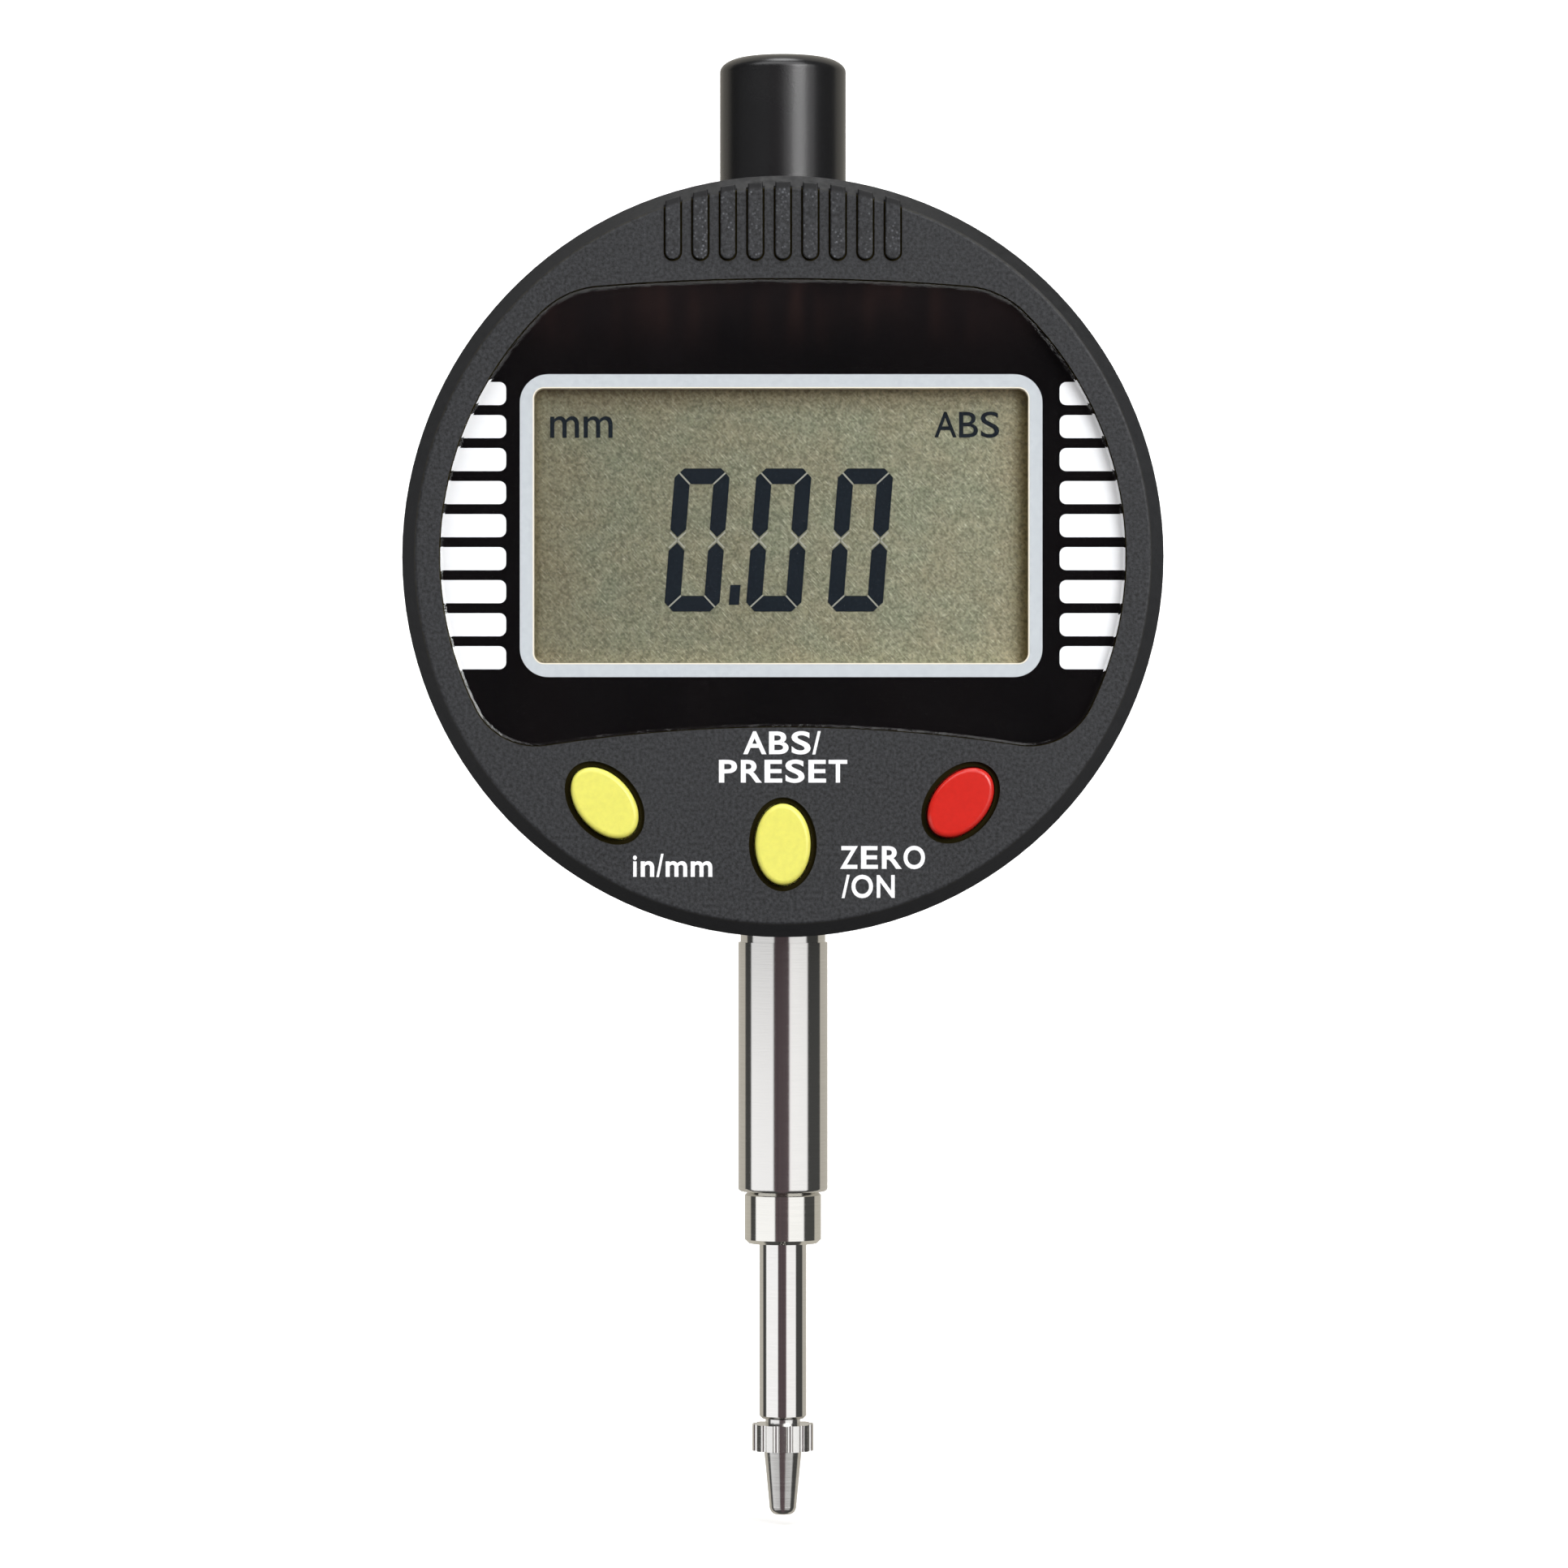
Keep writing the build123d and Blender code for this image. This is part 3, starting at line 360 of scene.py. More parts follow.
def machined(name, colour, pitch, roughness, depth, spread=0.08):
    """Turned or ground metal with fine rings."""
    finish = Finish(name)
    rings = finish.effect("turning", Pitch=pitch)
    low, high = roughness
    finish.set(
        Base_Color=finish.mix(rings["Mask"], between(colour, 1 - spread), colour),
        Metallic=1.0,
        Roughness=finish.span(rings["Mask"], low, high),
        Normal=finish.bump(rings["Height"], depth),
    )
    return finish


# Meshes and geometry node trees


def link(name, mesh):
    """New object at the origin that holds a mesh."""
    piece = bpy.data.objects.new(name, mesh)
    bpy.context.scene.collection.objects.link(piece)
    return piece


def finished_mesh(piece):
    """New mesh of what an object shows, with its modifiers or its curves worked out."""
    depsgraph = bpy.context.evaluated_depsgraph_get()
    return bpy.data.meshes.new_from_object(piece.evaluated_get(depsgraph), depsgraph=depsgraph)


def twin(node, name):
    """Merged copy of a CAD node's mesh, with flat faces."""
    shape = bmesh.new()
    shape.from_mesh(cad[node].data)
    touching = 0.0002 * MM
    bmesh.ops.remove_doubles(shape, verts=shape.verts, dist=touching)
    mesh = plain_mesh(shape, name)
    mesh.shade_flat()
    return link(name, mesh)


def plain_mesh(shape, name):
    """New mesh of a bmesh, which is freed."""
    mesh = bpy.data.meshes.new(name)
    shape.to_mesh(mesh)
    shape.free()
    return mesh


def flat_prisms(name, outlines, depth):
    """Starting mesh: a thin prism over each flat outline in x and z."""
    shape = bmesh.new()
    for outline in outlines:
        rear = [shape.verts.new((x, depth / 2, z)) for x, z in outline]
        face = [shape.verts.new((x, -depth / 2, z)) for x, z in outline]
        shape.faces.new(rear)
        shape.faces.new(face)
        for here in range(len(outline)):
            there = (here + 1) % len(outline)
            shape.faces.new((rear[here], rear[there], face[there], face[here]))
    bmesh.ops.recalc_face_normals(shape, faces=shape.faces)
    return plain_mesh(shape, name)


class Pattern(Wiring):
    """Geometry node tree whose sockets are a starting mesh, inlets of a kind each, and a material."""

    def __init__(self, name, **inlets):
        super().__init__(bpy.data.node_groups.new(name, "GeometryNodeTree"))
        sockets = self.tree.interface
        for label, kind in {"Geometry": "Geometry", **inlets, "Material": "Material"}.items():
            sockets.new_socket(label, in_out="INPUT", socket_type="NodeSocket" + kind)
        sockets.new_socket("Geometry", in_out="OUTPUT", socket_type="NodeSocketGeometry")
        self.inlet = self.add("NodeGroupInput").outputs

    def node(self, kind, values=()):
        """First output of a new node."""
        return self.add(kind, values).outputs[0]

    def close(self, geometry):
        """Ends the tree with Realize Instances and Set Material."""
        solid = self.node("GeometryNodeRealizeInstances", {"Geometry": geometry})
        values = {"Geometry": solid, "Material": self.inlet["Material"]}
        painted = self.node("GeometryNodeSetMaterial", values)
        self.add("NodeGroupOutput", {"Geometry": painted})
        return self.tree

    def row(self):
        """Copies of the starting mesh along a straight line, as the row's sockets say."""
        count, step, start, mesh = (self.inlet[name] for name in ("Count", "Step", "Start", "Geometry"))
        line = self.node(
            "GeometryNodeMeshLine", {"Count": count, "Start Location": start, "Offset": step}
        )
        return self.node("GeometryNodeInstanceOnPoints", {"Points": line, "Instance": mesh})


def coil_tree():
    """A wire wound upwards from a start height."""
    coil = Pattern("coil", Turns="Float", Radius="Float", Height="Float", Wire="Float", Start="Vector")
    steps_each_turn, wire_sides = 48, 16
    line = coil.node(
        "GeometryNodeCurveSpiral",
        {
            "Resolution": steps_each_turn,
            "Rotations": coil.inlet["Turns"],
            "Start Radius": coil.inlet["Radius"],
            "End Radius": coil.inlet["Radius"],
            "Height": coil.inlet["Height"],
            "Reverse": True,
        },
    )
    section = coil.node(
        "GeometryNodeCurvePrimitiveCircle", {"Resolution": wire_sides, "Radius": coil.inlet["Wire"]}
    )
    wire = coil.node(
        "GeometryNodeCurveToMesh", {"Curve": line, "Profile Curve": section, "Fill Caps": True}
    )
    smooth = coil.node("GeometryNodeSetShadeSmooth", {"Geometry": wire})
    return coil.close(
        coil.node("GeometryNodeTransform", {"Geometry": smooth, "Translation": coil.inlet["Start"]})
    )


ROW_SOCKETS = {"Count": "Int", "Step": "Vector", "Start": "Vector"}


def row_tree():
    """One row of copies."""
    line = Pattern("row", **ROW_SOCKETS)
    return line.close(line.row())


def wheel_tree():
    """Rows of the starting mesh set round a middle, each turned about the view axis."""
    wheel = Pattern("sides", **ROW_SOCKETS, Sides="Int", Middle="Vector")
    sides = wheel.inlet["Sides"]
    spots = wheel.node("GeometryNodeMeshLine", {"Count": sides, "Offset": (0.0, 0.0, 0.0)})
    share = wheel.math("DIVIDE", wheel.node("GeometryNodeInputIndex"), sides)
    angle = wheel.times(share, 2 * math.pi)
    turn = wheel.node("ShaderNodeCombineXYZ", {"Y": angle})
    rows = wheel.node(
        "GeometryNodeInstanceOnPoints", {"Points": spots, "Instance": wheel.row(), "Rotation": turn}
    )
    return wheel.close(
        wheel.node("GeometryNodeTransform", {"Geometry": rows, "Translation": wheel.inlet["Middle"]})
    )


def grow(name, tree, values, start=None):
    """Runs a geometry node tree over a starting mesh and keeps the plain mesh that it makes."""
    piece = link(name, start or bpy.data.meshes.new(name + "_start"))
    modifier = piece.modifiers.new("Pattern", "NODES")
    modifier.node_group = tree
    for item in tree.interface.items_tree:
        if item.item_type == "SOCKET" and item.in_out == "INPUT" and item.name in values:
            modifier[item.identifier] = values[item.name]
    mesh = finished_mesh(piece)
    piece.modifiers.clear()
    piece.data = mesh
    mesh.name = piece.name
    if not mesh.polygons:
        raise RuntimeError(f"the tree of {name} made no faces")
    return piece


def block(size):
    """Starting mesh: a box about the origin."""
    shape = bmesh.new()
    bmesh.ops.create_cube(shape, size=1.0, matrix=Matrix.Diagonal((*size, 1.0)))
    return plain_mesh(shape, "block")


def letter(sign, weight):
    """Mesh of one letter with its left end at 0, and its width."""
    curve = bpy.data.curves.new("letter", "FONT")
    curve.body = sign
    curve.offset = weight
    curve.extrude = 0.5
    curve.resolution_u = 6
    holder = link("letter", curve)
    mesh = finished_mesh(holder)
    bpy.data.objects.remove(holder)
    bpy.data.curves.remove(curve)
    left = min(vertex.co.x for vertex in mesh.vertices)
    mesh.transform(Matrix.Translation((-left, 0.0, 0.0)))
    return mesh, max(vertex.co.x for vertex in mesh.vertices)


def word(name, text, middle, width, height, weight, face, film, material):
    """A word standing on a face that looks along -Y: its middle in x and z, width and cap height.

    Each letter gets the place and width that it has in a plain grotesque type.
    """
    cap = letter("E", weight)[0]
    up = height / (max(v.co.y for v in cap.vertices) - min(v.co.y for v in cap.vertices))
    base = min(vertex.co.y for vertex in cap.vertices)
    pen = -TYPE[text[0]][0]
    whole = bmesh.new()
    for sign in text:
        side, ink, advance = TYPE[sign]
        mesh, wide = letter(sign, weight)
        mesh.transform(
            Matrix.Translation((pen + side, 0.0, 0.0))
            @ Matrix.Diagonal((ink / wide, up, film, 1.0))
            @ Matrix.Translation((0.0, -base, 0.0))
        )
        whole.from_mesh(mesh)
        pen += advance
    side, ink, advance = TYPE[text[-1]]
    length = pen - advance + side + ink
    mesh = plain_mesh(whole, name)
    x, z = middle
    mesh.transform(
        Matrix.Translation((x - width / 2, face - film / 2, z - height / 2))
        @ Matrix.Rotation(math.pi / 2, 4, "X")
        @ Matrix.Diagonal((width / length, 1.0, 1.0, 1.0))
    )
    mesh.materials.clear()
    mesh.materials.append(material)
    return link(name, mesh)


class StageOperator(bpy.types.Operator):
    """Sets the camera, the pale floor with its backdrop, and the studio round the part"""

    bl_idname = "indicator.stage"
    bl_label = "Stage"

    def execute(self, context):
        sizes = context.scene.indicator_sizes
        self.camera(context, sizes.camera_distance)
        self.floor()
        self.studio(context)
        context.scene.view_settings.view_transform = "Standard"
        return {"FINISHED"}

    def camera(self, context, distance):
        """Level camera at the height of the middle of the whole part's picture."""
        aim_x, aim_z = 0.1 * MM, 24.96 * MM
        picture = 1932
        pixels_each_mm = 13.75
        lens = bpy.data.cameras.new("camera")
        lens.sensor_width = 36.0
        lens.lens = lens.sensor_width * pixels_each_mm * (distance / MM) / picture
        lens.clip_start = 10 * MM
        lens.clip_end = 20.0
        camera = bpy.data.objects.new("camera", lens)
        camera.location = (aim_x, -distance, aim_z)
        camera.rotation_euler = (math.pi / 2, 0, 0)
        context.scene.collection.objects.link(camera)
        context.scene.camera = camera

    def floor(self):
        """Floor just under the contact point, swept up behind into a wall."""
        floor_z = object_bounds()[0][2] - 1 * MM
        half_width, front, back, sweep, top = 1.5, -0.5, 0.9, 0.3, 1.6
        steps = 16
        line = [(front, floor_z)]
        for step in range(steps + 1):
            angle = math.pi / 2 * step / steps
            line.append((back + sweep * math.sin(angle), floor_z + sweep * (1 - math.cos(angle))))
        line.append((back + sweep, top))
        shape = bmesh.new()
        rows = [[shape.verts.new((side * half_width, y, z)) for side in (-1, 1)] for y, z in line]
        for low, high in zip(rows, rows[1:]):
            shape.faces.new((low[0], low[1], high[1], high[0]))
        mesh = plain_mesh(shape, "floor")
        mesh.shade_smooth()
        finish = moulded("floor_paper", (0.82, 0.82, 0.82), 2 * MM, (0.8, 0.9), 0.01 * MM, 0.01)
        finish.set(Emission_Color=(1.0, 1.0, 1.0), Emission_Strength=0.5)
        mesh.materials.append(finish.material)
        floor = link("floor", mesh)
        floor.visible_glossy = False
        floor.visible_diffuse = False
        floor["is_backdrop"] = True

    def studio(self, context):
        """Soft light all round: bright and dark upright fields, which polished metal mirrors."""
        world = bpy.data.worlds.new("studio")
        world.use_nodes = True
        context.scene.world = world
        sky = Wiring(world.node_tree)

        def band(value, low, high, soft):
            edges = [sky.span(value, 0, 1, edge - soft, edge + soft, True) for edge in (low, high)]
            return sky.math("SUBTRACT", *edges)

        direction = sky.add("ShaderNodeTexCoord").outputs["Generated"]
        x, y, z = (sky.axis(direction, label) for label in "XYZ")
        degree = 180 / math.pi
        azimuth = sky.times(sky.math("ARCTAN2", x, sky.times(y, -1.0)), degree)
        elevation = sky.times(sky.math("ARCSINE", z), degree)

        # Light fields: azimuth from and to, elevation from and to, softness, colour
        fields = [
            ((-90, -24), (-14, -0.5), 3.0, (1.18, 1.18, 1.2)),
            ((17, 67), (-14, 0.5), 3.5, (1.15, 1.15, 1.16)),
            ((-90, -24), (-40, -14), 3.0, (0.5, 0.5, 0.51)),
            ((17, 67), (-40, -14), 3.0, (0.42, 0.42, 0.42)),
            ((2, 60), (5.2, 28), 0.4, (2.0, 2.0, 2.0)),
            ((18, 42), (5.2, 28), 0.4, (8.0, 8.0, 8.0)),
            ((-62, 48), (31, 64), 5.0, (2.55, 2.57, 2.6)),
            ((-270, 270), (76, 95), 4.0, (6.0, 6.0, 6.0)),
            ((112, 260), (-60, 70), 3.0, (0.5, 0.47, 0.41)),
            ((-260, -114), (-60, 70), 3.0, (0.5, 0.47, 0.41)),
        ]
        squeezed = sky.vector("MULTIPLY", direction, (90.0, 90.0, 8.0))
        streaks = sky.add("ShaderNodeTexNoise", {"Vector": squeezed, "Scale": 1.0})
        middle, soft = 0.52, 0.16
        streaked = sky.mix(
            sky.span(streaks.outputs["Fac"], 0, 1, middle - soft, middle + soft, True),
            (0.085, 0.07, 0.078),
            (0.16, 0.11, 0.115),
        )
        near = sky.mix(band(azimuth, -22, 22, 2.0), (0.075, 0.075, 0.073), streaked)
        dimming = sky.times(band(elevation, -1.2, 4.4, 0.5), 0.8)
        total = sky.vector("SCALE", near, sky.math("SUBTRACT", 1.0, dimming))
        for (left, right), (low, high), soft, colour in fields:
            field = sky.times(band(azimuth, left, right, soft), band(elevation, low, high, soft))
            total = sky.vector("ADD", total, sky.vector("SCALE", colour, field))
        seen = sky.mix(
            sky.add("ShaderNodeLightPath").outputs["Is Camera Ray"], total, (1.05, 1.05, 1.05)
        )
        background = sky.add("ShaderNodeBackground", {"Color": seen})
        sky.add("ShaderNodeOutputWorld", {"Surface": background.outputs[0]})


class CaseOperator(bpy.types.Operator):
    """Finishes the front and rear housings, the back cover and their screws"""

    bl_idname = "indicator.case"
    bl_label = "Case"

    def execute(self, context):
        colours = context.scene.indicator_colours
        self.plastic(colours.case).wear("front_housing")
        moulded(
            "case_paint", between(colours.case, 0.85), 0.45 * MM, (0.4, 0.5), 0.02 * MM, 0.12
        ).wear("rear_housing", "back_cover")
        machined(
            "screw_steel", (0.32, 0.32, 0.33), 0.05 * MM, (0.25, 0.4), 0.002 * MM
        ).wear("case_screws", "board_screws", "rail_screws")
        return {"FINISHED"}

    def plastic(self, colour):
        """Charcoal plastic: two tones of grain, a few lighter specks, and a fine orange peel, with painted
        shade on the bevel and in the grooves and painted glints on the ribs.
        """
        finish = Finish("case_plastic")
        grain = finish.effect("grain", Size=0.3 * MM)
        peel = finish.effect("grain", Size=0.7 * MM)
        specks = finish.effect("specks", Size=0.62 * MM, Reach=0.22)
        patches = finish.effect("patches", Size=14 * MM)
        body = finish.mix(grain["Mask"], between(colour, 0.32), between(colour, 1.68))
        tinted = finish.mix(finish.times(patches["Mask"], 0.2), body, between(colour, 1.5))
        speckled = finish.mix(finish.times(specks["Mask"], 0.35), tinted, between(colour, 3.0))
        rim = self.rim(finish)
        # Painted shade on the bevel: the case colour darkened to 0.8 of it at the middle height and below,
        # and to 0.35 of it at the top
        high = finish.span(finish.axis(finish.place, "Z"), 0, 1, case_middle.z, housing_high.z, True)
        bevel = finish.mix(high, between(colour, 0.8), between(colour, 0.35))
        bare = finish.mix(rim, self.ribs(finish, speckled, colour), bevel)
        groove = self.grooves(finish, rim)
        # Painted shade in the grooves round the ribs and the buttons: olive brown near the face to near
        # black deeper down, with less specular there
        painted_groove_shade = finish.mix(groove, (0.055, 0.044, 0.012), (0.02, 0.016, 0.004))
        finish.set(
            Base_Color=finish.mix(finish.span(groove, 0, 1, 0.0, 0.25), bare, painted_groove_shade),
            Specular_IOR_Level=finish.span(groove, 0.35, 0.02, 0.0, 0.5),
            Roughness=finish.span(peel["Mask"], 0.46, 0.62),
            Normal=finish.bump(
                finish.times(grain["Height"], finish.span(rim, 1.0, 0.3)),
                0.03 * MM,
                0.7,
                finish.bump(peel["Height"], 0.03 * MM, 0.6),
            ),
        )
        return finish

    def rim(self, finish):
        """Mask that is 1 on the smooth bevel, outside the textured face."""
        middle = (-case_middle.x, 0.0, -case_middle.z)
        way = finish.vector("LENGTH", finish.vector("MULTIPLY_ADD", finish.place, (1.0, 0.0, 1.0), middle))
        edge, soft = case_radius - 1.2 * MM, 0.15 * MM
        return finish.span(way, 0, 1, edge - soft, edge + soft, True)

    def ribs(self, finish, body, colour):
        """Body colour with painted glints: light spots on top of the ribs, which stand out of the face."""
        rise = finish.span(finish.axis(finish.place, "Y"), 1, 0, housing_low.y, case_face)
        spots = finish.effect("specks", Size=0.36 * MM, Reach=0.42)
        patches = finish.effect("patches", Size=2.2 * MM)
        # Painted glints: light specks on the tops of the ribs
        painted_glints = finish.times(spots["Mask"], finish.times(patches["Mask"], rise))
        return finish.mix(painted_glints, body, between(colour, 6.5))

    def grooves(self, finish, rim):
        """Mask that is 1 below the face, in the grooves round the ribs and the buttons."""
        lip, depth = 0.02 * MM, 0.3 * MM
        sunk = finish.span(
            finish.axis(finish.place, "Y"), 0, 1, case_face + lip, case_face + depth, True
        )
        return finish.times(sunk, finish.math("SUBTRACT", 1.0, rim))


class WordsOperator(bpy.types.Operator):
    """Prints the white words on the face of the case"""

    bl_idname = "indicator.words"
    bl_label = "Words on the case"

    def execute(self, context):
        sizes = context.scene.indicator_sizes
        white = context.scene.indicator_colours.print_white
        finish = moulded("word_paint", white, 0.2 * MM, (0.42, 0.55), 0.006 * MM, 0.03)
        # Name, text, middle across and up from the middle of the case, width
        words = [
            ("word_absolute", "ABS/", -0.08, -16.38, 6.8),
            ("word_preset", "PRESET", 0.02, -18.87, 11.25),
            ("word_unit", "in/mm", -9.66, -27.13, 6.95),
            ("word_zero", "ZERO", 8.74, -26.43, 7.45),
            ("word_on", "/ON", 7.48, -28.97, 4.65),
        ]
        for name, text, x, z, width in words:
            middle = (x * MM, case_middle.z + z * MM)
            piece = word(
                name, text, middle, width * MM, sizes.word_height, sizes.word_weight,
                case_face, sizes.print_film, finish.material,
            )
            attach(piece, "housing")
        return {"FINISHED"}


class WindowOperator(bpy.types.Operator):
    """Makes the clear window sheet, and finishes the black print and the white bars behind it"""

    bl_idname = "indicator.window"
    bl_label = "Window"

    def execute(self, context):
        colours = context.scene.indicator_colours
        self.sheet()
        self.black(colours.print_black).wear("panel_backing")
        # The white bars have a faint emission, a painted glow
        moulded(
            "white_print", colours.print_white, 0.4 * MM, (0.6, 0.8), 0.002 * MM, 0.02
        ).set(
            Specular_IOR_Level=0.02, Emission_Color=(1.0, 1.0, 1.0), Emission_Strength=0.15
        ).wear("side_stripes")
        return {"FINISHED"}

    def sheet(self):
        """The panel itself, a hair thinner at its back so that it doesn't lie in the print."""
        piece = twin("window_panel", "window_sheet")
        air = 0.03 * MM
        for vertex in piece.data.vertices:
            if vertex.co.y > panel_high.y - air:
                vertex.co.y = panel_high.y - air
        finish = Finish("clear_sheet")
        patches = finish.effect("patches", Size=5 * MM)
        normal = finish.add("ShaderNodeNewGeometry").outputs["Normal"]
        slope = finish.span(finish.math("ABSOLUTE", finish.axis(normal, "Y")), 1, 0, 0.6, 0.95)
        nicks = finish.effect("grain", Size=1.1 * MM)
        finish.set(
            Base_Color=(0.97, 0.98, 0.98),
            Roughness=finish.span(patches["Mask"], 0.01, 0.03),
            IOR=1.49,
            Transmission_Weight=1.0,
            Normal=finish.bump(finish.times(nicks["Height"], slope), 0.25 * MM),
        )
        clear = finish.add("ShaderNodeBsdfTransparent")
        path = finish.add("ShaderNodeLightPath").outputs
        straight = finish.math("MAXIMUM", path["Is Shadow Ray"], path["Is Diffuse Ray"])
        values = {0: straight, 1: finish.shader.outputs["BSDF"], 2: clear.outputs[0]}
        share = finish.add("ShaderNodeMixShader", values)
        finish.put(finish.output.inputs["Surface"], share.outputs[0])
        piece.data.materials.append(finish.material)
        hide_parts("window_panel")
        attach(piece, "housing")

    def black(self, colour):
        """Black print with faint reddish upright streaks above the display, which are a painted reflection.
        """
        finish = moulded("black_print", colour, 0.3 * MM, (0.6, 0.8), 0.002 * MM)
        tall = finish.vector("MULTIPLY", finish.place, (1.0, 1.0, 0.2))
        streaks = finish.effect("patches", tall, Size=2.2 * MM)
        above = finish.span(
            finish.axis(finish.place, "Z"), 0, 1, border_high.z + 1 * MM, panel_high.z, True
        )
        # Painted reflection: reddish upright streaks on the print above the display
        mask = finish.times(finish.math("POWER", streaks["Mask"], 2.0), above)
        return finish.set(
            Base_Color=finish.mix(mask, colour, tone(39, 29, 27)), Specular_IOR_Level=0.02
        )


class DisplayOperator(bpy.types.Operator):
    """Finishes the display's border, glass and digits, and adds its fine lines and small words"""

    bl_idname = "indicator.display"
    bl_label = "Display"

    def execute(self, context):
        sizes = context.scene.indicator_sizes
        colours = context.scene.indicator_colours
        self.border()
        self.glass(colours.display)
        self.lines(sizes.line_width, sizes.print_film)
        dark = moulded("dark_segments", colours.segments, 0.25 * MM, (0.5, 0.6), 0.001 * MM, 0.18)
        dark.set(Specular_IOR_Level=0.05).wear("display_segments")
        thin_weight = 0.004
        # Name, text, middle across and up from the middle of the border, width, height of a capital
        for name, text, x, z, width, height in (
            ("shown_mm", "mm", -17.59, 9.2, 5.5, 2.82),
            ("shown_absolute", "ABS", 16.34, 8.95, 5.7, 2.25),
        ):
            middle = (border_middle.x + x * MM, border_middle.z + z * MM)
            piece = word(
                name, text, middle, width * MM, height * MM, thin_weight,
                glass_low.y, 2 * sizes.print_film, dark.material,
            )
            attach(piece, "housing")
        return {"FINISHED"}

    def border(self):
        """White border with a painted cream highlight on its inner edge and on the walls of its opening."""
        finish = Finish("white_border")
        grain = finish.effect("grain", Size=0.5 * MM)
        front = finish.mix(grain["Mask"], tone(199, 205, 210), tone(207, 213, 217))
        # Painted highlight: cream on the inner edge and on the walls of the opening
        finish.set(
            Base_Color=finish.mix(self.painted_inner_highlight(finish), front, tone(255, 246, 226)),
            Roughness=finish.span(grain["Mask"], 0.4, 0.5),
        )
        finish.wear("display_frame")

    def painted_inner_highlight(self, finish):
        """Mask that is 1 on the walls of the border's opening and close to its edge, where the cream
        highlight is painted.
        """
        corner, edge = 0.9 * MM, 0.13 * MM
        half = (border_high - border_low) / 2
        ways = []
        for label, middle, reach in (
            ("X", border_middle.x, half.x - border_band - corner),
            ("Z", border_middle.z, half.z - border_band - corner),
        ):
            off = finish.math("SUBTRACT", finish.axis(finish.place, label), middle)
            past = finish.math("SUBTRACT", finish.math("ABSOLUTE", off), reach)
            ways.append(finish.math("POWER", finish.math("MAXIMUM", past, 0.0), 2.0))
        way = finish.math("SQRT", finish.math("ADD", *ways))
        return finish.span(way, 1, 0, corner + edge / 2, corner + edge, True)

    def glass(self, colour):
        """Mottled grey display with light fibres, with painted light: darker at the left and lighter at the
        right, painted brown shade towards its edges and painted dark shade beside the side walls of the
        border.
        """
        finish = Finish("display_grey")
        values = {"Vector": finish.place, "Location": border_middle}
        centre = finish.add("ShaderNodeMapping", values, vector_type="TEXTURE")
        across = finish.axis(centre.outputs[0], "X")
        up = finish.axis(centre.outputs[0], "Z")
        half = (border_high - border_low) / 2
        # Painted shade towards the edges: brown at the top, half as strong at the sides and a fifth as
        # strong at the bottom
        side = finish.span(
            finish.math("ABSOLUTE", across), 0, 1, half.x - 7 * MM, half.x - 1 * MM, True
        )
        top = finish.span(up, 0, 1, half.z - 4 * MM, half.z - 1 * MM, True)
        bottom = finish.span(up, 1, 0, 1 * MM - half.z, 5 * MM - half.z, True)
        edge = finish.math("MAXIMUM", finish.times(side, 0.5), top)
        edge = finish.math("MAXIMUM", edge, finish.times(bottom, 0.2))
        grain = finish.effect("grain", Size=0.26 * MM)
        mottle = finish.effect("grain", Size=0.9 * MM)
        patches = finish.effect("patches", Size=3.5 * MM)
        fibres = finish.effect("fibres")
        # Painted light: the display darkened to 0.82 of its colour at the left and lightened to 1.27 at the
        # right
        painted_side_light = finish.span(across, 0.82, 1.27, -half.x, half.x)
        plain = finish.mix(mottle["Mask"], between(colour, 0.92), tone(129, 130, 110))
        warm = finish.mix(finish.times(patches["Mask"], 0.3), plain, tone(135, 122, 98))
        stroked = finish.mix(finish.times(fibres["Mask"], 0.7), warm, tone(176, 176, 154))
        painted_edge_shade = finish.mix(finish.times(edge, 0.6), stroked, tone(122, 107, 84))
        # Painted shade beside the border's walls: dark olive brown, up to 0.85 at the right and 0.5 at the
        # left
        opening = half.x - border_band
        right = finish.span(across, 0, 0.85, opening - 1.9 * MM, opening, True)
        left = finish.span(across, 0.5, 0, -opening, 0.8 * MM - opening, True)
        painted_wall_shade = finish.mix(finish.math("MAXIMUM", right, left), painted_edge_shade, tone(75, 65, 35))
        finish.set(
            Base_Color=finish.dim(finish.dim(painted_wall_shade, painted_side_light), finish.span(grain["Mask"], 0.66, 1.34)),
            Roughness=finish.span(grain["Mask"], 0.4, 0.55),
            Specular_IOR_Level=0.1,
        )
        finish.wear("display_glass")

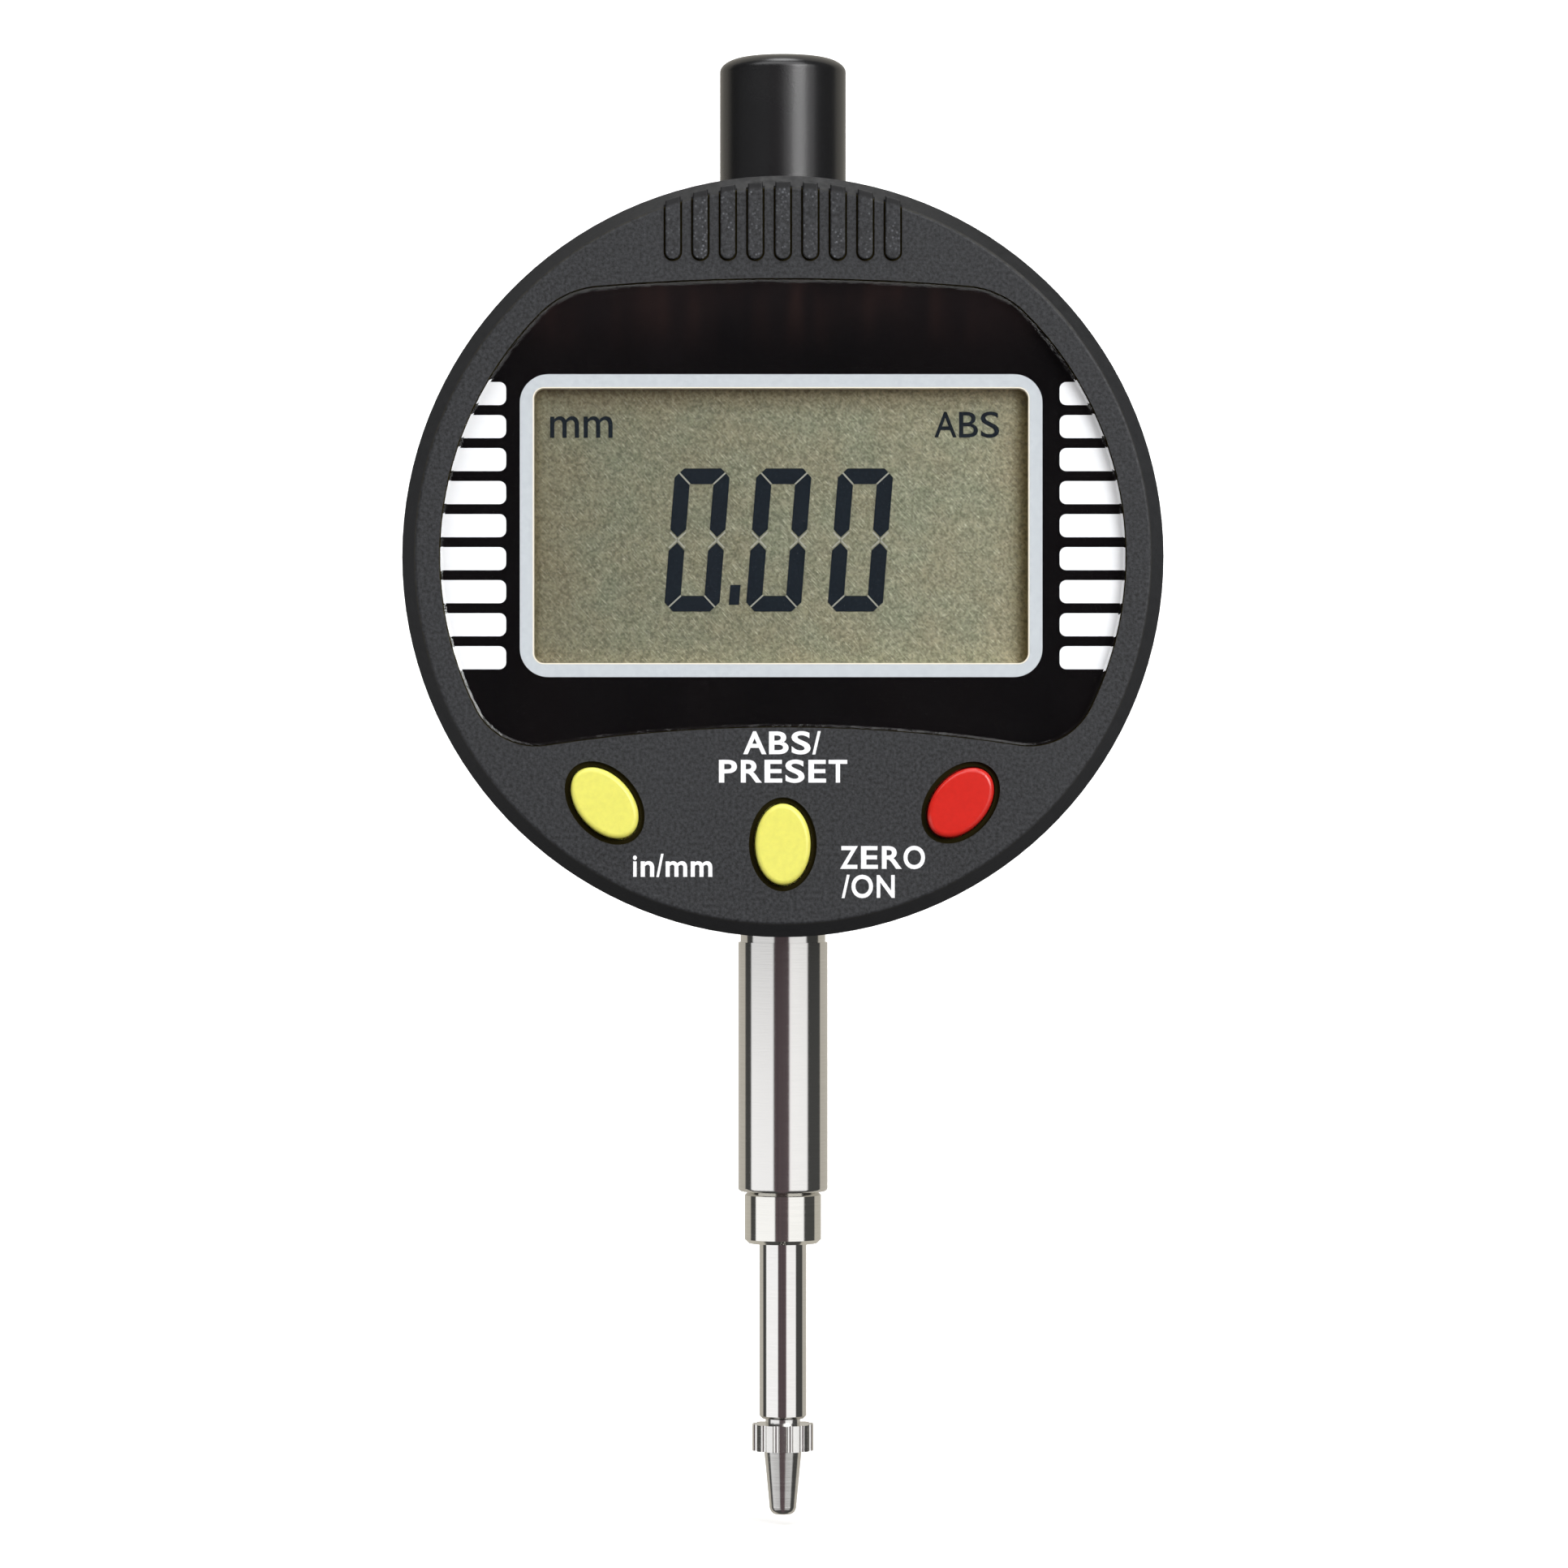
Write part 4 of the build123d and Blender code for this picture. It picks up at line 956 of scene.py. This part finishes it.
    def lines(self, width, film):
        """Light lines in the gaps between the segments of each nought."""
        low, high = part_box("display_segments")
        finish = moulded("light_lines", tone(160, 160, 146), 0.3 * MM, (0.35, 0.5), 0.001 * MM, 0.04)
        middle_x, middle_z = border_middle.x + digit_shift, (low.z + high.z) / 2
        pitch, wide, stroke, cut, lean = 7.19 * MM, 4.85 * MM, 1.38 * MM, 0.8 * MM, 0.08
        half_w, half_h = wide / 2, (high.z - low.z) / 2
        strokes = []
        for side in (-1, 1):
            hub = side * (half_w - stroke / 2)
            arm = stroke / 2
            strokes.append(((hub - arm, -arm), (hub + arm, arm)))
            strokes.append(((hub - arm, arm), (hub + arm, -arm)))
            for up in (-1, 1):
                outer = (side * (half_w - cut / 2), up * (half_h - cut / 2))
                inner = (side * (half_w - stroke), up * (half_h - stroke))
                strokes.append((inner, outer))
        outlines = []
        for (x0, z0), (x1, z1) in strokes:
            length = math.hypot(x1 - x0, z1 - z0)
            aside, along = (z1 - z0) / length * width / 2, (x1 - x0) / length * width / 2
            corners = (
                (x0 + aside, z0 - along),
                (x1 + aside, z1 - along),
                (x1 - aside, z1 + along),
                (x0 - aside, z0 + along),
            )
            outlines.append([(x + lean * z, z) for x, z in corners])
        start = flat_prisms("digit_strokes", outlines, film)
        piece = grow(
            "digit_lines",
            row_tree(),
            {
                "Count": 3,
                "Step": (pitch, 0.0, 0.0),
                "Start": (middle_x - pitch, glass_low.y - film / 2, middle_z),
                "Material": finish.material,
            },
            start,
        )
        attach(piece, "housing")


class ButtonsOperator(bpy.types.Operator):
    """Finishes the three buttons, their switches and the plungers between"""

    bl_idname = "indicator.buttons"
    bl_label = "Buttons"

    def execute(self, context):
        colours = context.scene.indicator_colours
        self.gloss("yellow_plastic", colours.yellow, (0.32, 0.42)).wear("unit_button", "preset_button")
        self.gloss("red_plastic", colours.red, (0.16, 0.24)).wear("zero_button")
        moulded("switch_plastic", (0.6, 0.6, 0.57), 0.2 * MM, (0.45, 0.6), 0.004 * MM, 0.05).wear(
            "unit_key_switch", "preset_key_switch", "zero_key_switch"
        )
        moulded("plunger_plastic", (0.03, 0.03, 0.03), 0.2 * MM, (0.4, 0.55), 0.004 * MM).wear(
            "unit_switch_plunger", "preset_switch_plunger", "zero_switch_plunger"
        )
        return {"FINISHED"}

    def gloss(self, name, colour, roughness):
        """Glossy moulded button, slightly cloudy."""
        finish = moulded(name, colour, 0.5 * MM, roughness, 0.003 * MM, 0.035)
        return finish.set(Subsurface_Weight=0.08, Subsurface_Radius=(1 * MM, 0.6 * MM, 0.3 * MM))


class SteelworkOperator(bpy.types.Operator):
    """Finishes the stem, bushes, spindle, contact point, stop washer and spindle cap"""

    bl_idname = "indicator.steelwork"
    bl_label = "Stem, spindle and cap"

    def execute(self, context):
        steel = context.scene.indicator_colours.steel
        machined("stem_steel", steel, 0.07 * MM, (0.07, 0.13), 0.0006 * MM).wear("stem")
        machined("spindle_steel", steel, 0.04 * MM, (0.05, 0.1), 0.0003 * MM).wear("spindle")
        machined("bush_steel", (0.78, 0.77, 0.73), 0.12 * MM, (0.06, 0.12), 0.0008 * MM).wear(
            "lower_bush", "upper_bush"
        )
        machined("point_steel", steel, 0.09 * MM, (0.12, 0.22), 0.001 * MM).wear("contact_point")
        moulded("washer_rubber", (0.03, 0.03, 0.03), 0.15 * MM, (0.6, 0.8), 0.01 * MM).wear(
            "stop_washer"
        )
        self.cap()
        return {"FINISHED"}

    def cap(self):
        """Black satin on the spindle cap, and plainer black on the battery cap."""
        moulded("black_satin", tone(33, 33, 34), 0.16 * MM, (0.23, 0.3), 0.006 * MM, 0.15).wear(
            "spindle_cap"
        )
        moulded("black_moulding", tone(30, 30, 31), 0.2 * MM, (0.35, 0.45), 0.01 * MM, 0.15).wear(
            "battery_cap"
        )


class SpringOperator(bpy.types.Operator):
    """Winds the return spring between the carrier and the upper boss"""

    bl_idname = "indicator.spring"
    bl_label = "Return spring"

    def execute(self, context):
        sizes = context.scene.indicator_sizes
        low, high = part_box("return_spring")
        finish = machined("spring_steel", (0.55, 0.55, 0.56), 0.05 * MM, (0.2, 0.3), 0.0005 * MM)
        wire = sizes.spring_wire
        piece = grow(
            "spring_coil",
            coil_tree(),
            {
                "Turns": float(sizes.spring_turns),
                "Radius": (high.x - low.x) / 2 - wire,
                "Height": high.z - low.z - 2 * wire,
                "Wire": wire,
                "Start": (0.0, 0.0, low.z + wire),
                "Material": finish.material,
            },
        )
        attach(piece, "housing")
        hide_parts("return_spring")
        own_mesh(piece)
        return {"FINISHED"}


class CarrierOperator(bpy.types.Operator):
    """Finishes the carrier, its screw, pin and rail, and prints the marks of the scale"""

    bl_idname = "indicator.carrier"
    bl_label = "Carrier and scale"

    def execute(self, context):
        pitch = context.scene.indicator_sizes.mark_pitch
        machined("milled_metal", (0.7, 0.7, 0.71), 0.15 * MM, (0.28, 0.4), 0.002 * MM).wear("carrier")
        machined("hard_steel", (0.6, 0.6, 0.6), 0.05 * MM, (0.15, 0.25), 0.0005 * MM).wear(
            "carrier_screw", "guide_pin", "guide_rail"
        )
        moulded("strip_laminate", (0.05, 0.16, 0.07), 0.2 * MM, (0.35, 0.45), 0.002 * MM).wear(
            "scale_strip", "encoder_stator"
        )
        finish = machined("plated_marks", (0.8, 0.6, 0.28), 0.1 * MM, (0.2, 0.3), 0.0005 * MM)
        film, wide_share = 0.02 * MM, 0.7
        tree = row_tree()
        for name, node, body, front in (
            ("scale_marks", "scale_strip", "spindle", True),
            ("reader_marks", "encoder_stator", "housing", False),
        ):
            low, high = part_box(node)
            margin = 1.5 * MM
            count = int((high.z - low.z - 2 * margin) / pitch) + 1
            start = ((low.z + high.z) - (count - 1) * pitch) / 2
            face = low.y - film / 2 if front else high.y + film / 2
            piece = grow(
                name,
                tree,
                {
                    "Count": count,
                    "Step": (0.0, 0.0, pitch),
                    "Start": ((low.x + high.x) / 2, face, start),
                    "Material": finish.material,
                },
                block(((high.x - low.x) * wide_share, film, pitch / 2)),
            )
            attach(piece, body)
        return {"FINISHED"}


class BoardsOperator(bpy.types.Operator):
    """Finishes the board and what is on it, and adds the chip's legs and the layers of the strips"""

    bl_idname = "indicator.boards"
    bl_label = "Boards"

    def execute(self, context):
        self.board().wear("main_board")
        moulded("chip_body", (0.02, 0.02, 0.021), 0.15 * MM, (0.45, 0.6), 0.004 * MM).wear(
            "driver_chip", "capacitor"
        )
        tin = machined("plated_can", (0.62, 0.62, 0.6), 0.2 * MM, (0.25, 0.35), 0.002 * MM)
        tin.wear("crystal")
        moulded("strip_rubber", (0.035, 0.035, 0.035), 0.2 * MM, (0.6, 0.75), 0.006 * MM).wear(
            "zebra_strip_upper", "zebra_strip_lower", "battery_cap_seal"
        )
        self.legs(tin)
        self.layers()
        return {"FINISHED"}

    def board(self):
        """Green laminate with darker and lighter tracks."""
        finish = Finish("board_laminate")
        upright = {"Vector": finish.place, "Rotation": (math.pi / 2, 0, 0)}
        values = {
            "Vector": finish.add("ShaderNodeMapping", upright).outputs[0],
            "Color1": (0.02, 0.11, 0.045),
            "Color2": (0.03, 0.15, 0.06),
            "Mortar": (0.05, 0.22, 0.09),
            "Scale": 260,
            "Mortar Size": 0.06,
        }
        tracks = finish.add("ShaderNodeTexBrick", values, offset=0.5, squash=1.0)
        grain = finish.effect("grain", Size=0.2 * MM)
        finish.set(
            Base_Color=finish.mix(
                finish.times(grain["Mask"], 0.3), tracks.outputs["Color"], (0.02, 0.09, 0.04)
            ),
            Roughness=finish.span(grain["Mask"], 0.3, 0.42),
            Normal=finish.bump(tracks.outputs["Fac"], 0.02 * MM, 0.5),
        )
        return finish

    def legs(self, tin):
        """Legs round the four sides of the driver chip."""
        low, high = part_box("driver_chip")
        board_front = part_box("main_board")[0].y
        middle = (low + high) / 2
        half = (high.x - low.x) / 2
        leg_length, leg_width, leg_height = 0.7 * MM, 0.35 * MM, 0.15 * MM
        pitch, count = 0.8 * MM, 7
        piece = grow(
            "chip_legs",
            wheel_tree(),
            {
                "Count": count,
                "Step": (pitch, 0.0, 0.0),
                "Start": (-pitch * (count - 1) / 2, 0.0, half + leg_length / 2),
                "Sides": 4,
                "Middle": (middle.x, board_front - leg_height / 2, middle.z),
                "Material": tin.material,
            },
            block((leg_width, leg_height, leg_length)),
        )
        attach(piece, "housing")

    def layers(self):
        """Light layers of the rubber strips, one beside the other."""
        finish = moulded("strip_layers", (0.3, 0.3, 0.28), 0.2 * MM, (0.5, 0.6), 0.004 * MM)
        tree = row_tree()
        pitch, proud, deep_share = 0.8 * MM, 0.01 * MM, 0.9
        for end in ("upper", "lower"):
            low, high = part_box(f"zebra_strip_{end}")
            count = int((high.x - low.x) / pitch) - 1
            middle = (low + high) / 2
            piece = grow(
                f"strip_layers_{end}",
                tree,
                {
                    "Count": count,
                    "Step": (pitch, 0.0, 0.0),
                    "Start": (middle.x - pitch * (count - 1) / 2, middle.y, middle.z),
                    "Material": finish.material,
                },
                block((pitch / 2, (high.y - low.y) * deep_share, high.z - low.z + 2 * proud)),
            )
            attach(piece, "housing")


class BatteryOperator(bpy.types.Operator):
    """Finishes the battery cell, its holder and its contacts"""

    bl_idname = "indicator.battery"
    bl_label = "Battery"

    def execute(self, context):
        moulded("holder_plastic", (0.62, 0.61, 0.58), 0.3 * MM, (0.45, 0.6), 0.006 * MM, 0.05).wear(
            "battery_holder"
        )
        machined("cell_can", (0.72, 0.72, 0.72), 0.3 * MM, (0.2, 0.32), 0.001 * MM).wear("battery_cell")
        machined("contact_metal", (0.75, 0.73, 0.66), 0.1 * MM, (0.2, 0.3), 0.0008 * MM).wear(
            "battery_contact_negative", "battery_contact_positive"
        )
        return {"FINISHED"}


class IndicatorPanel(bpy.types.Panel):
    """Lists the steps that dress the indicator"""

    bl_idname = "VIEW3D_PT_indicator"
    bl_label = "Digital Indicator"
    bl_space_type = "VIEW_3D"
    bl_region_type = "UI"
    bl_category = "Indicator"

    def draw(self, context):
        for group in (context.scene.indicator_sizes, context.scene.indicator_colours):
            for label in group.__annotations__:
                self.layout.prop(group, label)
        for step in STEPS:
            self.layout.operator(step.bl_idname)


STEPS = (
    StageOperator,
    CaseOperator,
    WordsOperator,
    WindowOperator,
    DisplayOperator,
    ButtonsOperator,
    SteelworkOperator,
    SpringOperator,
    CarrierOperator,
    BoardsOperator,
    BatteryOperator,
)
CLASSES = (IndicatorSizes, IndicatorColours, *STEPS, IndicatorPanel)


def register():
    for kind in CLASSES:
        bpy.utils.register_class(kind)
    bpy.types.Scene.indicator_sizes = PointerProperty(type=IndicatorSizes)
    bpy.types.Scene.indicator_colours = PointerProperty(type=IndicatorColours)


def unregister():
    del bpy.types.Scene.indicator_colours
    del bpy.types.Scene.indicator_sizes
    for kind in reversed(CLASSES):
        bpy.utils.unregister_class(kind)


def plain(bounds):
    """Lowest and highest corners as plain lists."""
    return [list(map(float, corner)) for corner in bounds]


def main():
    """Runs every step."""
    cad_box = plain(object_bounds())
    register()
    for step in STEPS:
        group, name = step.bl_idname.split(".")
        getattr(getattr(bpy.ops, group), name)()
    {"cad": cad_box, "visual": plain(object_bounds())}


if __name__ == "__main__":
    main()
